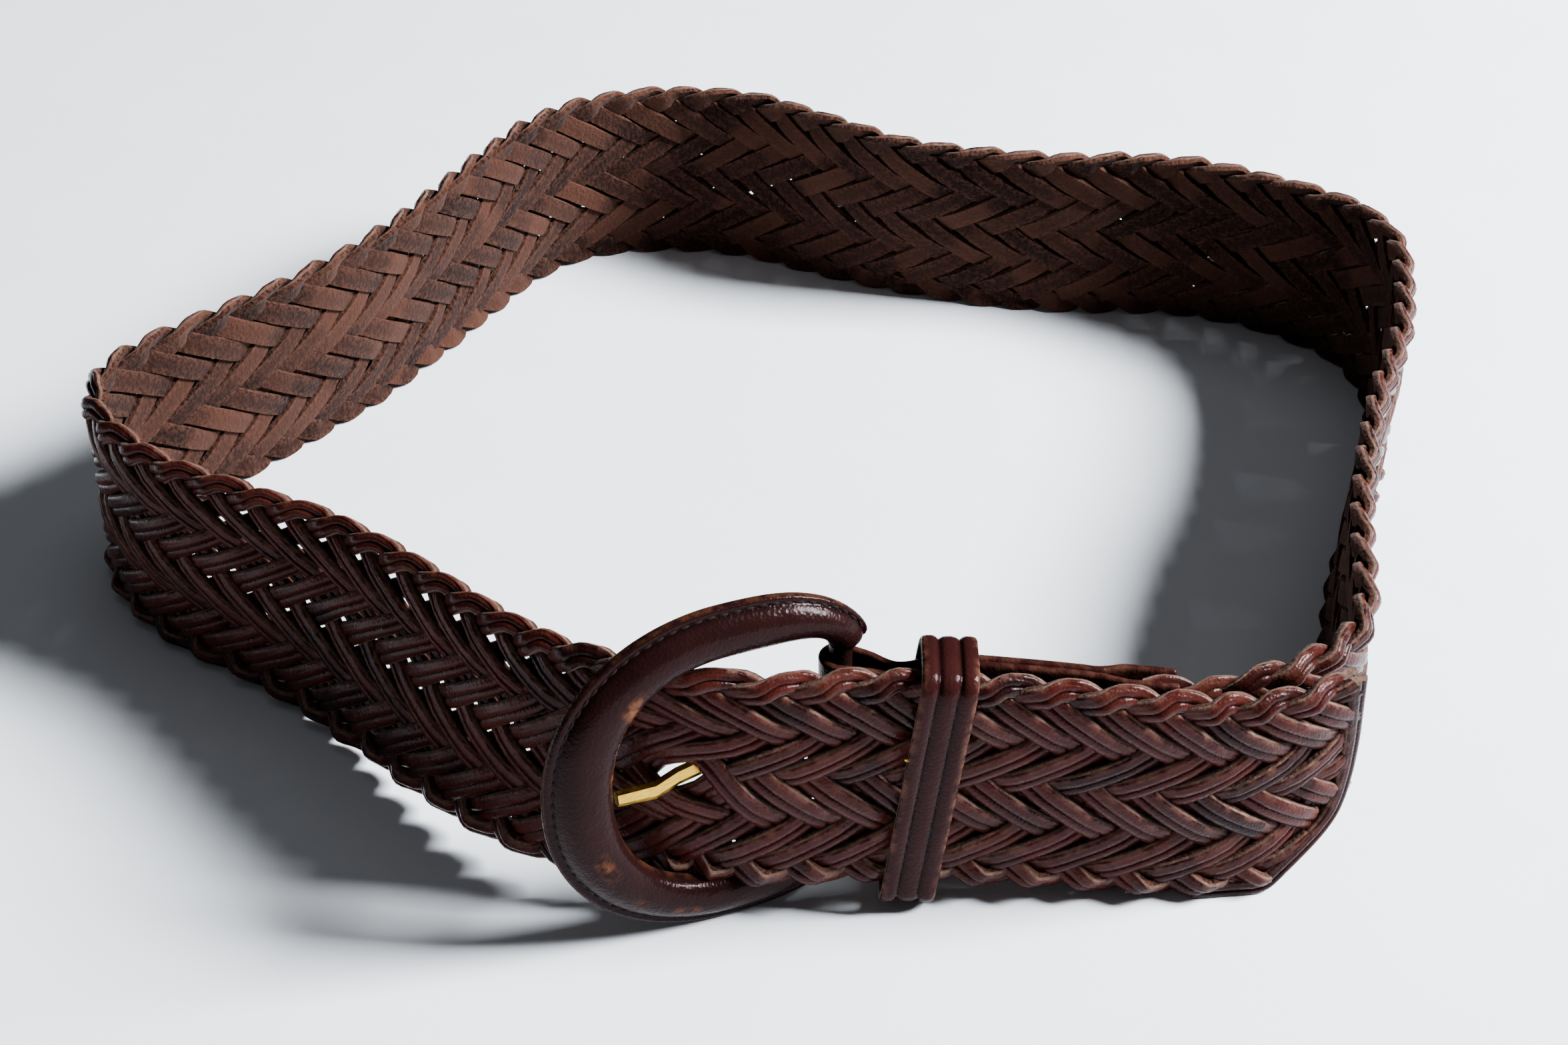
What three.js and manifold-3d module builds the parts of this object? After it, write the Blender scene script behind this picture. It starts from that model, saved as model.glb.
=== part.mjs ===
// Braided leather belt, fastened and standing on its lower edge.
// Millimetres, Z up, the buckle side faces -Y.
import * as THREE from 'three';
import Module from 'manifold-3d';

// Strap
const STRAP_WIDTH = 50;
const STRAND_RIDGE = 2.1;
const STRAND_VALLEY = 1.25;
const ROW_SEAM = 1.7;
const STRAP_EDGE = 1.0;
const LOOP_PITCH = 10.5;
const LOOP_DEPTH = 1.7;
const ROW_SHEAR = 0.75 * LOOP_PITCH;
const BUCKLE_SQUEEZE = 0.094;
const SQUEEZE_REACH = 14;

// Buckle frame
const RIM_WIDTH = 10.5;
const RIM_CROWN = 13.6;
const WINDOW_HEIGHT = STRAP_WIDTH;
const FRAME_HEIGHT = WINDOW_HEIGHT + 2 * RIM_WIDTH;
const FRAME_LENGTH = 0.91 * FRAME_HEIGHT;
const RIM_DOME = 3.7;
const RIM_BACK = 2.2;
const BAR_RADIUS = 2.2;
const BAR_U = 0.5 * FRAME_HEIGHT;
const FRAME_YAW = 24;
const FRAME_LEAN = 4.5;

// Fits
const GAP = 0.35;
const TAB_LEATHER = 1.7;
const TAB_LENGTH = 60;
const TAB_POCKET = 10;
const TONGUE_HALF = 1.1;
const TONGUE_NARROW = 0.94;
const KEEPER_WIDTH = 10.6;
const KEEPER_LEATHER = 1.8;
const KEEPER_PLACE = 15.5;
const KEEPER_SLACK = 2.6;
const PRONG_HEIGHT = 3.0;
const PRONG_THICK = 2.2;
const PRONG_EYE = 1.3;
const SEAT = 0.1;

// Loop
const LOOP_LENGTH = 300;
const LIFT = RIM_WIDTH - 0.1;
const LIFT_SLOPE = 0.0098;
const TIP_LENGTH = 16.5;

// Middle line of the strap seen from above, from the tip round to the tab.
// x, y: place from the buckle's bar, in 300ths of LOOP_LENGTH.
// out: how far the lower edge stands outside the upper edge, in 50ths of STRAP_WIDTH.
// lift: share of LIFT, the height to which the buckle raises the strap.
const STATIONS = [
  { x: 97.4, y: 11.2, out: 0.0, lift: 0.0 },
  { x: 94.4, y: 8.4, out: 0.0, lift: 0.0 },
  { x: 87.6, y: 4.1, out: 0.0, lift: 0.0 },
  { x: 79.4, y: 1.0, out: 0.0, lift: 0.0 },
  { x: 70.2, y: -0.7, out: 0.0, lift: 0.01 },
  { x: 59.2, y: -1.6, out: 0.3, lift: 0.10 },
  { x: 45.2, y: -2.0, out: 0.6, lift: 0.24 },
  { x: 31.2, y: -2.6, out: 1.0, lift: 0.38 },
  { x: 17.2, y: -3.8, out: 1.2, lift: 0.52 },
  { x: 5.2, y: -5.3, out: 1.5, lift: 0.65 },
  { x: -5.8, y: -7.2, out: 1.8, lift: 0.78 },
  { x: -15.8, y: -8.4, out: 1.9, lift: 0.91 },
  { x: -24.8, y: -8.3, out: 2.0, lift: 1.0 },
  { x: -33.8, y: -7.3, out: 2.4, lift: 0.98 },
  { x: -42.8, y: -5.3, out: 3.6, lift: 0.85 },
  { x: -51.8, y: -2.1, out: 6.2, lift: 0.72 },
  { x: -60.3, y: 3.1, out: 8.2, lift: 0.60 },
  { x: -68.8, y: 10.1, out: 9.2, lift: 0.49 },
  { x: -77.3, y: 18.1, out: 10.0, lift: 0.38 },
  { x: -86.3, y: 27.1, out: 10.4, lift: 0.28 },
  { x: -95.8, y: 36.3, out: 9.8, lift: 0.18 },
  { x: -105.8, y: 45.1, out: 8.2, lift: 0.09 },
  { x: -116.8, y: 52.7, out: 5.6, lift: 0.02 },
  { x: -128.8, y: 59.9, out: 3.6, lift: 0.0 },
  { x: -140.8, y: 66.9, out: 2.2, lift: 0.0 },
  { x: -150.8, y: 74.9, out: 1.2, lift: 0.0 },
  { x: -158.2, y: 84.3, out: 0.6, lift: 0.0 },
  { x: -162.4, y: 94.5, out: 0.4, lift: 0.0 },
  { x: -161.4, y: 104.7, out: 0.2, lift: 0.0 },
  { x: -156.2, y: 113.9, out: 0.8, lift: 0.0 },
  { x: -149.2, y: 122.1, out: 1.8, lift: 0.0 },
  { x: -141.0, y: 131.5, out: 3.4, lift: 0.0 },
  { x: -131.6, y: 142.1, out: 4.6, lift: 0.0 },
  { x: -122.2, y: 153.9, out: 5.4, lift: 0.0 },
  { x: -113.6, y: 166.3, out: 5.0, lift: 0.0 },
  { x: -105.8, y: 180.5, out: 4.0, lift: 0.0 },
  { x: -98.0, y: 196.1, out: 3.0, lift: 0.0 },
  { x: -90.2, y: 211.9, out: 2.8, lift: 0.0 },
  { x: -82.2, y: 226.1, out: 3.4, lift: 0.0 },
  { x: -73.2, y: 236.3, out: 4.0, lift: 0.0 },
  { x: -62.8, y: 242.5, out: 4.0, lift: 0.0 },
  { x: -50.8, y: 245.7, out: 3.2, lift: 0.0 },
  { x: -36.8, y: 246.3, out: 2.4, lift: 0.0 },
  { x: -23.2, y: 243.5, out: 2.0, lift: 0.0 },
  { x: -11.4, y: 238.1, out: 2.6, lift: 0.0 },
  { x: 0.0, y: 231.7, out: 5.0, lift: 0.0 },
  { x: 11.8, y: 225.7, out: 8.0, lift: 0.0 },
  { x: 24.2, y: 221.5, out: 9.0, lift: 0.0 },
  { x: 37.2, y: 218.9, out: 8.4, lift: 0.0 },
  { x: 50.6, y: 217.3, out: 7.6, lift: 0.0 },
  { x: 64.2, y: 217.1, out: 7.0, lift: 0.0 },
  { x: 77.2, y: 217.5, out: 7.0, lift: 0.0 },
  { x: 88.6, y: 216.5, out: 8.0, lift: 0.0 },
  { x: 99.2, y: 213.7, out: 9.0, lift: 0.0 },
  { x: 109.2, y: 209.5, out: 9.4, lift: 0.0 },
  { x: 118.2, y: 203.5, out: 9.0, lift: 0.0 },
  { x: 127.6, y: 195.9, out: 6.4, lift: 0.0 },
  { x: 132.4, y: 186.3, out: 3.6, lift: 0.0 },
  { x: 134.2, y: 175.1, out: 1.6, lift: 0.0 },
  { x: 133.1, y: 163.1, out: 0.4, lift: 0.0 },
  { x: 130.5, y: 150.1, out: -0.4, lift: 0.0 },
  { x: 127.6, y: 137.5, out: -0.8, lift: 0.0 },
  { x: 123.6, y: 125.7, out: -1.0, lift: 0.0 },
  { x: 119.0, y: 114.1, out: -1.0, lift: 0.0 },
  { x: 115.2, y: 102.9, out: -1.0, lift: 0.0 },
  { x: 112.0, y: 91.5, out: -0.8, lift: 0.0 },
  { x: 109.2, y: 79.9, out: -0.6, lift: 0.0 },
  { x: 106.8, y: 68.3, out: -0.2, lift: 0.0 },
  { x: 104.8, y: 56.5, out: 0.2, lift: 0.0 },
  { x: 103.4, y: 44.5, out: 0.6, lift: 0.0 },
  { x: 102.0, y: 33.5, out: 0.8, lift: 0.0 },
  { x: 99.0, y: 24.7, out: 0.8, lift: 0.0 },
  { x: 93.4, y: 17.7, out: 0.6, lift: 0.0 },
  { x: 85.4, y: 11.9, out: 0.4, lift: 0.0 },
  { x: 75.2, y: 7.3, out: 0.2, lift: 0.01 },
  { x: 64.2, y: 4.7, out: 0.0, lift: 0.06 },
  { x: 53.2, y: 4.1, out: 0.0, lift: 0.16 },
  { x: 42.2, y: 3.7, out: 0.0, lift: 0.27 },
];

// Rounded end of the tip. z: share of the width. s: share of TIP_LENGTH from the far end.
const TIP_OUTLINE = [
  { z: 1.00, s: 0.12 },
  { z: 0.90, s: 0.09 },
  { z: 0.78, s: 0.05 },
  { z: 0.66, s: 0.01 },
  { z: 0.52, s: 0.00 },
  { z: 0.40, s: 0.04 },
  { z: 0.32, s: 0.11 },
  { z: 0.26, s: 0.25 },
  { z: 0.19, s: 0.49 },
  { z: 0.12, s: 0.72 },
  { z: 0.06, s: 0.89 },
  { z: 0.00, s: 1.00 },
];

const rad = (degrees) => degrees * Math.PI / 180;
const clamp = (value, low, high) => Math.min(high, Math.max(low, value));
const blend = (value) => value * value * (3 - 2 * value);

function hermite(keys, columns, steps) {
  const chord = [];
  for (let i = 0; i < keys.length - 1; i++) {
    chord.push(Math.hypot(keys[i + 1].x - keys[i].x, keys[i + 1].y - keys[i].y));
  }
  const slopeAt = (i, name) => {
    if (i === 0) return (keys[1][name] - keys[0][name]) / chord[0];
    const last = keys.length - 1;
    if (i === last) return (keys[last][name] - keys[last - 1][name]) / chord[last - 1];
    const before = (keys[i][name] - keys[i - 1][name]) / chord[i - 1];
    const after = (keys[i + 1][name] - keys[i][name]) / chord[i];
    return (before * chord[i] + after * chord[i - 1]) / (chord[i] + chord[i - 1]);
  };
  const rows = [];
  for (let i = 0; i < keys.length - 1; i++) {
    for (let k = 0; k < steps; k++) {
      const t = k / steps;
      const h = chord[i];
      const row = {};
      for (const name of columns) {
        const a = keys[i][name];
        const b = keys[i + 1][name];
        const ma = slopeAt(i, name) * h;
        const mb = slopeAt(i + 1, name) * h;
        row[name] = (2 * t ** 3 - 3 * t ** 2 + 1) * a + (t ** 3 - 2 * t ** 2 + t) * ma
          + (3 * t ** 2 - 2 * t ** 3) * b + (t ** 3 - t ** 2) * mb;
      }
      rows.push(row);
    }
  }
  rows.push({ ...keys[keys.length - 1] });
  let length = 0;
  rows[0].s = 0;
  for (let i = 1; i < rows.length; i++) {
    length += Math.hypot(rows[i].x - rows[i - 1].x, rows[i].y - rows[i - 1].y);
    rows[i].s = length;
  }
  return rows;
}

// Places near the buckle follow its size, those further off follow the loop.
function place({ x, y, out, lift }) {
  const far = blend(clamp((Math.hypot(x, y) - FRAME_HEIGHT) / FRAME_HEIGHT, 0, 1));
  const grow = (FRAME_HEIGHT / 71) * (1 - far) + (LOOP_LENGTH / 300) * far;
  return { x: x * grow, y: y * grow, out: out * STRAP_WIDTH / 50, lift };
}

const PATH = hermite(STATIONS.map(place), ['x', 'y', 'out', 'lift'], 8);
const PATH_LENGTH = PATH[PATH.length - 1].s;

function pathAt(s) {
  const target = clamp(s, 0, PATH_LENGTH);
  let low = 0;
  let high = PATH.length - 1;
  while (high - low > 1) {
    const middle = (low + high) >> 1;
    if (PATH[middle].s <= target) low = middle;
    else high = middle;
  }
  const a = PATH[low];
  const b = PATH[high];
  const t = (target - a.s) / (b.s - a.s);
  const row = {};
  for (const name of ['x', 'y', 'out', 'lift']) row[name] = a[name] + (b[name] - a[name]) * t;
  row.lift = Math.max(0, row.lift);
  return row;
}

const SQUEEZE_AT = PATH.find((row) => row.x < -0.6 * BAR_U).s;

function squeeze(s) {
  const away = (s - SQUEEZE_AT) / SQUEEZE_REACH;
  return 1 - BUCKLE_SQUEEZE * Math.exp(-away * away);
}

// s along the strap, z up its width, d outward from its middle.
function onStrap(s, z, d) {
  const here = pathAt(s);
  const back = pathAt(s - 2);
  const ahead = pathAt(s + 2);
  const run = Math.hypot(ahead.x - back.x, ahead.y - back.y);
  const t = { x: (ahead.x - back.x) / run, y: (ahead.y - back.y) / run };
  const n = { x: -t.y, y: t.x };
  const slope = LIFT * (ahead.lift - back.lift) / run;
  const half = STRAP_WIDTH / 2;
  const v = (z - half) * squeeze(s);
  const lean = here.out / STRAP_WIDTH;
  const along = -v * slope;
  const across = -v * lean + d;
  const rise = d * lean * clamp(6 * z / STRAP_WIDTH, 0, 1);
  return [
    here.x + t.x * along + n.x * across,
    here.y + t.y * along + n.y * across,
    LIFT * here.lift + half + v + rise,
  ];
}

function solid(points, triangles) {
  let volume = 0;
  for (const [i, j, k] of triangles) {
    const [a, b, c] = [points[i], points[j], points[k]];
    volume += a[0] * (b[1] * c[2] - b[2] * c[1]) - a[1] * (b[0] * c[2] - b[2] * c[0])
      + a[2] * (b[0] * c[1] - b[1] * c[0]);
  }
  const index = [];
  for (const [i, j, k] of triangles) {
    if (volume > 0) index.push(i, j, k);
    else index.push(i, k, j);
  }
  const geometry = new THREE.BufferGeometry();
  geometry.setAttribute('position', new THREE.Float32BufferAttribute(points.flat(), 3));
  geometry.setIndex(index);
  return geometry;
}

// Skin through rings of equal count; closed joins the last ring to the first.
function loft(rings, closed) {
  const count = rings[0].length;
  const points = rings.flat();
  const triangles = [];
  const spans = closed ? rings.length : rings.length - 1;
  for (let r = 0; r < spans; r++) {
    const next = (r + 1) % rings.length;
    for (let k = 0; k < count; k++) {
      const a = r * count + k;
      const b = r * count + (k + 1) % count;
      const c = next * count + (k + 1) % count;
      const d = next * count + k;
      triangles.push([a, b, c], [a, c, d]);
    }
  }
  if (!closed) {
    const last = (rings.length - 1) * count;
    for (let k = 1; k < count - 1; k++) {
      triangles.push([0, k + 1, k]);
      triangles.push([last, last + k, last + k + 1]);
    }
  }
  return solid(points, triangles);
}

// Woven band
const ROW_EDGES = [0, 0.125, 0.315, 0.505, 0.695, 0.875, 1];
const STRAP_END = PATH.findLast((row) => row.x > TAB_LENGTH - TAB_POCKET + 2 * GAP).s;
const TONGUE_START = PATH.findLast((row) => row.x > TAB_LENGTH + 2 * GAP).s;
const THIN_RUN = 0.57 * LOOP_PITCH;
const THIN_START = TONGUE_START - ROW_SHEAR - LOOP_PITCH - TAB_LEATHER + 2 * GAP;
const NARROW_START = TONGUE_START - 0.53 * LOOP_PITCH;
const CREST = 0.22 * LOOP_PITCH;
const END_MARGIN = 1.2;

function tipStart(share) {
  for (let i = 0; i < TIP_OUTLINE.length - 1; i++) {
    const a = TIP_OUTLINE[i];
    const b = TIP_OUTLINE[i + 1];
    const along = (a.z - share) / (a.z - b.z);
    if (share <= a.z && share >= b.z) return (a.s + (b.s - a.s) * along) * TIP_LENGTH;
  }
  return 0;
}

function strapLine(share, side, kind, direction) {
  const start = tipStart(share);
  const marks = [];
  const step = LOOP_PITCH / 2;
  if (kind === 'edge') {
    for (let m = 0; m * LOOP_PITCH < STRAP_END; m++) {
      marks.push({ s: m * LOOP_PITCH - CREST, low: 0 });
      marks.push({ s: m * LOOP_PITCH + CREST, low: 0 });
      marks.push({ s: m * LOOP_PITCH + step, low: LOOP_DEPTH });
    }
  } else {
    const offset = kind === 'middle' ? step / 2 : 0;
    for (let m = 0; m * step < STRAP_END; m++) {
      const ridge = (m + (direction > 0 ? 0 : 1)) % 2 === 0 ? STRAND_RIDGE : STRAND_VALLEY;
      marks.push({ s: m * step + offset, half: kind === 'middle' ? ridge : ROW_SEAM });
    }
  }
  const inside = marks.filter((mark) => (
    mark.s > start + END_MARGIN && mark.s < STRAP_END - END_MARGIN
  ));
  const plain = kind === 'edge' ? { low: LOOP_DEPTH * 0.5 } : { half: ROW_SEAM * 0.9 };
  const line = [{ s: start, ...plain }, ...inside, { s: STRAP_END, ...plain }];
  const sign = side === 'outer' ? 1 : -1;
  for (const mark of line) {
    const half = kind === 'edge' ? STRAP_EDGE : mark.half;
    const thin = blend(clamp((mark.s - THIN_START) / THIN_RUN, 0, 1));
    const narrow = mark.s > NARROW_START ? TONGUE_NARROW : 1;
    let z = share * STRAP_WIDTH;
    if (kind === 'edge') z += share > 0.5 ? -mark.low : mark.low;
    z = STRAP_WIDTH / 2 + (z - STRAP_WIDTH / 2) * narrow;
    mark.d = sign * (half + (Math.min(half, TONGUE_HALF) - half) * thin);
    mark.z = z;
  }
  return line;
}

function weave() {
  const plan = [{ share: 1, kind: 'edge', shear: 0 }];
  for (let row = 1; row < 5; row++) {
    const direction = row % 2 === 1 ? -1 : 1;
    const top = 1 - ROW_EDGES[row];
    const bottom = 1 - ROW_EDGES[row + 1];
    plan.push({ share: top, kind: 'seam', shear: row === 1 ? 0 : -direction, direction });
    plan.push({ share: (top + bottom) / 2, kind: 'middle', shear: direction, direction });
  }
  plan.push({ share: 1 - ROW_EDGES[5], kind: 'seam', shear: 1, direction: 1 });
  plan.push({ share: 0, kind: 'edge', shear: 0 });
  const points = [];
  const sides = ['outer', 'inner'].map((side) => plan.map((item) => {
    const line = strapLine(item.share, side, item.kind, item.direction ?? 1);
    return line.map((mark) => {
      points.push(onStrap(mark.s, mark.z, mark.d));
      return { index: points.length - 1, s: mark.s };
    });
  }));
  const triangles = [];
  const zip = (a, b, shear, flip) => {
    let i = 0;
    let j = 0;
    const add = (p, q, r) => triangles.push(flip ? [p, r, q] : [p, q, r]);
    while (i < a.length - 1 || j < b.length - 1) {
      const stepA = i < a.length - 1
        && (j === b.length - 1 || a[i + 1].s + shear <= b[j + 1].s + 1e-6);
      if (stepA) {
        add(a[i].index, a[i + 1].index, b[j].index);
        i++;
      } else {
        add(a[i].index, b[j + 1].index, b[j].index);
        j++;
      }
    }
  };
  sides.forEach((lines, which) => {
    for (let k = 0; k < lines.length - 1; k++) {
      const shear = plan[k + 1].shear * ROW_SHEAR * (which === 0 ? 1 : -1);
      zip(lines[k], lines[k + 1], shear, which === 1);
    }
  });
  const [outer, inner] = sides;
  const last = outer.length - 1;
  zip(inner[0], outer[0], 0, false);
  zip(inner[last], outer[last], 0, true);
  for (let k = 0; k < last; k++) {
    const [a, b, c, d] = [outer[k][0], outer[k + 1][0], inner[k + 1][0], inner[k][0]];
    triangles.push([a.index, b.index, c.index], [a.index, c.index, d.index]);
    const [e, f, g, h] = [outer[k].at(-1), outer[k + 1].at(-1), inner[k + 1].at(-1), inner[k].at(-1)];
    triangles.push([e.index, g.index, f.index], [e.index, h.index, g.index]);
  }
  return solid(points, triangles);
}

// Buckle frame, in its own plane: u to the right, v up, w to the back.
const CENTRE_V = FRAME_HEIGHT / 2;
const CENTRE_U = 0.21 * FRAME_LENGTH;
const OUTER_U = 0.575 * FRAME_LENGTH;
const INNER_U = OUTER_U - RIM_CROWN;

function onFrame(u, v, w) {
  const yaw = rad(FRAME_YAW);
  const lean = rad(FRAME_LEAN);
  const along = u - BAR_U;
  const back = v * Math.sin(lean) + w * Math.cos(lean);
  return [
    along * Math.cos(yaw) - back * Math.sin(yaw),
    along * Math.sin(yaw) + back * Math.cos(yaw),
    v * Math.cos(lean) + (RIM_BACK - w) * Math.sin(lean),
  ];
}

function oval(angle, a, b, power) {
  const c = Math.cos(angle);
  const s = Math.sin(angle);
  return {
    u: CENTRE_U + a * Math.sign(c) * Math.abs(c) ** (2 / power),
    v: b * Math.sign(s) * Math.abs(s) ** (2 / power),
  };
}

const half = FRAME_HEIGHT / 2;
const open = WINDOW_HEIGHT / 2;
// Rim beyond the crown down to the bar, outer and inner edge of each cut.
// uo, ui: shares of BAR_U. vo: share of half the height. vi: share of half the window.
const SHOULDER = [
  { uo: 0.606, vo: 0.997, ui: 0.55, vi: 1.0, deep: 1.0 },
  { uo: 0.831, vo: 0.944, ui: 0.718, vi: 1.0, deep: 0.97 },
  { uo: 1.014, vo: 0.842, ui: 0.834, vi: 0.984, deep: 0.93 },
  { uo: 1.132, vo: 0.713, ui: 0.9, vi: 0.932, deep: 0.9 },
  { uo: 1.172, vo: 0.606, ui: 0.93, vi: 0.864, deep: 0.86 },
];
const RIM_PROFILE = [
  { q: -1.0, w: 0.35 },
  { q: -0.9, w: -0.55 },
  { q: -0.55, w: -0.9 },
  { q: -0.1, w: -1.0 },
  { q: 0.35, w: -0.78 },
  { q: 0.68, w: -0.28 },
  { q: 1.0, w: -0.16 },
  { q: 1.0, w: 0.55 },
  { q: 0.3, w: 1.0 },
  { q: -0.6, w: 1.0 },
];

function frameCut(outer, inner, deep, round) {
  const middle = { u: (outer.u + inner.u) / 2, v: (outer.v + inner.v) / 2 };
  const arm = { u: (outer.u - inner.u) / 2, v: (outer.v - inner.v) / 2 };
  return RIM_PROFILE.map((corner, k) => {
    const flat = { q: corner.q, w: corner.w * (corner.w < 0 ? RIM_DOME : RIM_BACK) * deep };
    const turn = Math.PI + k * 2 * Math.PI / RIM_PROFILE.length;
    const ring = { q: Math.cos(turn), w: Math.sin(turn) * BAR_RADIUS };
    const q = flat.q + (ring.q - flat.q) * round;
    const w = flat.w + (ring.w - flat.w) * round;
    return onFrame(middle.u + arm.u * q, CENTRE_V + middle.v + arm.v * q, w);
  });
}

function buckleFrame() {
  const cuts = [];
  const turns = 12;
  for (let k = 0; k <= turns; k++) {
    const angle = Math.PI - k * Math.PI / (2 * turns) * 0.96;
    const outer = oval(angle, OUTER_U, half, 2.15);
    const inner = oval(angle, INNER_U, open, 2.3);
    cuts.push({ outer, inner, deep: 1, round: 0 });
  }
  for (const row of SHOULDER) {
    cuts.push({
      outer: { u: row.uo * BAR_U, v: row.vo * half },
      inner: { u: row.ui * BAR_U, v: row.vi * open },
      deep: row.deep,
      round: 0,
    });
  }
  const barTop = open - 2 * BAR_RADIUS;
  for (const v of [barTop, barTop - 1.1 * BAR_RADIUS]) {
    cuts.push({
      outer: { u: BAR_U + BAR_RADIUS, v },
      inner: { u: BAR_U - BAR_RADIUS, v },
      deep: 1,
      round: 1,
    });
  }
  const mirror = cuts.slice(1).reverse().map((cut) => ({
    outer: { u: cut.outer.u, v: -cut.outer.v },
    inner: { u: cut.inner.u, v: -cut.inner.v },
    deep: cut.deep,
    round: cut.round,
  }));
  const rings = [...cuts, ...mirror].map((cut) => (
    frameCut(cut.outer, cut.inner, cut.deep, cut.round)
  ));
  return loft(rings, true);
}

// Leather tab folded round the bar; a runs along the strap, b across it, h up it.
const TAB_NARROW = 0.365 * STRAP_WIDTH;
const TAB_FULL = 0.485 * STRAP_WIDTH;
const BAR_CLEAR = BAR_RADIUS + GAP;
const FOLD = BAR_CLEAR + TAB_LEATHER;
const FLARE = { lower: 11, upper: 7, run: 10, end: 16 };

function onTab(a, b, h) {
  const base = onFrame(BAR_U, CENTRE_V, 0);
  const leanNow = Math.tan(rad(FRAME_LEAN)) * (1 - blend(clamp(a / FLARE.lower, 0, 1)));
  const x = base[0] + a;
  const last = PATH[PATH.length - 1];
  const rear = PATH.findLast((row) => row.x > Math.max(x, last.x + 2 * GAP));
  const lift = x > last.x ? rear.lift : last.lift + (last.x - x) * LIFT_SLOPE;
  const share = blend(clamp(a / (TAB_LENGTH - 2 * TAB_POCKET), 0, 1));
  const y = base[1] + (rear.y - base[1]) * share;
  const settle = blend(clamp(a / FLARE.end, 0, 1));
  const z = base[2] + (STRAP_WIDTH / 2 + LIFT * lift - base[2]) * settle;
  const slope = LIFT_SLOPE * LIFT * settle;
  const yaw = rad(FRAME_YAW);
  return [
    x + h * (slope - leanNow * Math.sin(yaw)),
    y + b + h * leanNow * Math.cos(yaw),
    z + h,
  ];
}

function tabHalf(a, level) {
  const from = level < 0 ? FLARE.lower : FLARE.upper;
  return TAB_NARROW + (TAB_FULL - TAB_NARROW) * blend(clamp((a - from) / FLARE.run, 0, 1));
}

function buckleTab(wasm) {
  const flat = TAB_LEATHER + SEAT;
  const pocket = TONGUE_HALF + 1.5 * GAP;
  const lip = pocket + 0.7 * TAB_LEATHER;
  const start = TAB_LENGTH - TAB_POCKET;
  const upper = [
    [TAB_LENGTH, lip], [start, lip], [start - TAB_POCKET / 2, flat], [TAB_LENGTH / 2, flat],
    [3.3 * FOLD, flat], [2 * FOLD, 0.59 * FOLD], [0.8 * FOLD, 0.92 * FOLD], [0, FOLD],
    [-0.71 * FOLD, 0.71 * FOLD], [-FOLD, 0],
  ];
  const outline = [...upper, ...upper.slice(0, -1).reverse().map(([a, b]) => [a, -b])];
  outline.push([TAB_LENGTH, -pocket], [start + GAP, -pocket], [start - 2 * GAP, 0]);
  outline.push([start + GAP, pocket], [TAB_LENGTH, pocket]);
  const wide = 1.07 * BAR_CLEAR;
  const hole = [
    [2.9 * wide, 0], [1.3 * wide, 0.7 * wide], [0, wide], [-0.71 * wide, 0.71 * wide],
    [-wide, 0], [-0.71 * wide, -0.71 * wide], [0, -wide], [1.3 * wide, -0.7 * wide],
  ];
  const contour = outline.map(([a, b]) => new THREE.Vector2(a, b));
  const holes = [hole.map(([a, b]) => new THREE.Vector2(a, b))];
  if (THREE.ShapeUtils.isClockWise(contour)) contour.reverse();
  if (!THREE.ShapeUtils.isClockWise(holes[0])) holes[0].reverse();
  const faces = THREE.ShapeUtils.triangulateShape(contour, holes);
  const flatPoints = [...contour, ...holes[0]];
  const points = [];
  for (const level of [-1, 1]) {
    for (const p of flatPoints) points.push(onTab(p.x, p.y, level * tabHalf(p.x, level)));
  }
  const count = flatPoints.length;
  const triangles = [];
  for (const [i, j, k] of faces) {
    triangles.push([i, k, j], [count + i, count + j, count + k]);
  }
  const wall = (from, size) => {
    for (let k = 0; k < size; k++) {
      const a = from + k;
      const b = from + (k + 1) % size;
      triangles.push([a, b, count + b], [a, count + b, count + a]);
    }
  };
  wall(0, contour.length);
  wall(contour.length, holes[0].length);
  const tab = toManifold(wasm, solid(points, triangles));
  const notch = 2.3 * PRONG_HEIGHT + 2 * GAP;
  const base = onFrame(BAR_U, CENTRE_V, 0);
  const box = new THREE.BoxGeometry(2.7 * FOLD, 4 * FOLD, notch);
  box.translate(base[0] + 0.1 * FOLD, base[1], base[2]);
  return fromManifold(tab.subtract(toManifold(wasm, box)));
}

// Prong: an eye round the bar and a flat bar through the braid to the rim.
// u: share of BAR_U. v: share of PRONG_HEIGHT. w: share of RIM_DOME.
const PRONG_LINE = [
  { u: 0.62, v: 0.0, w: 0.3 },
  { u: 0.32, v: -0.2, w: 0.86 },
  { u: 0.1, v: -0.6, w: 0.7 },
  { u: -0.035, v: -1.0, w: 0.45 },
];

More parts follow.
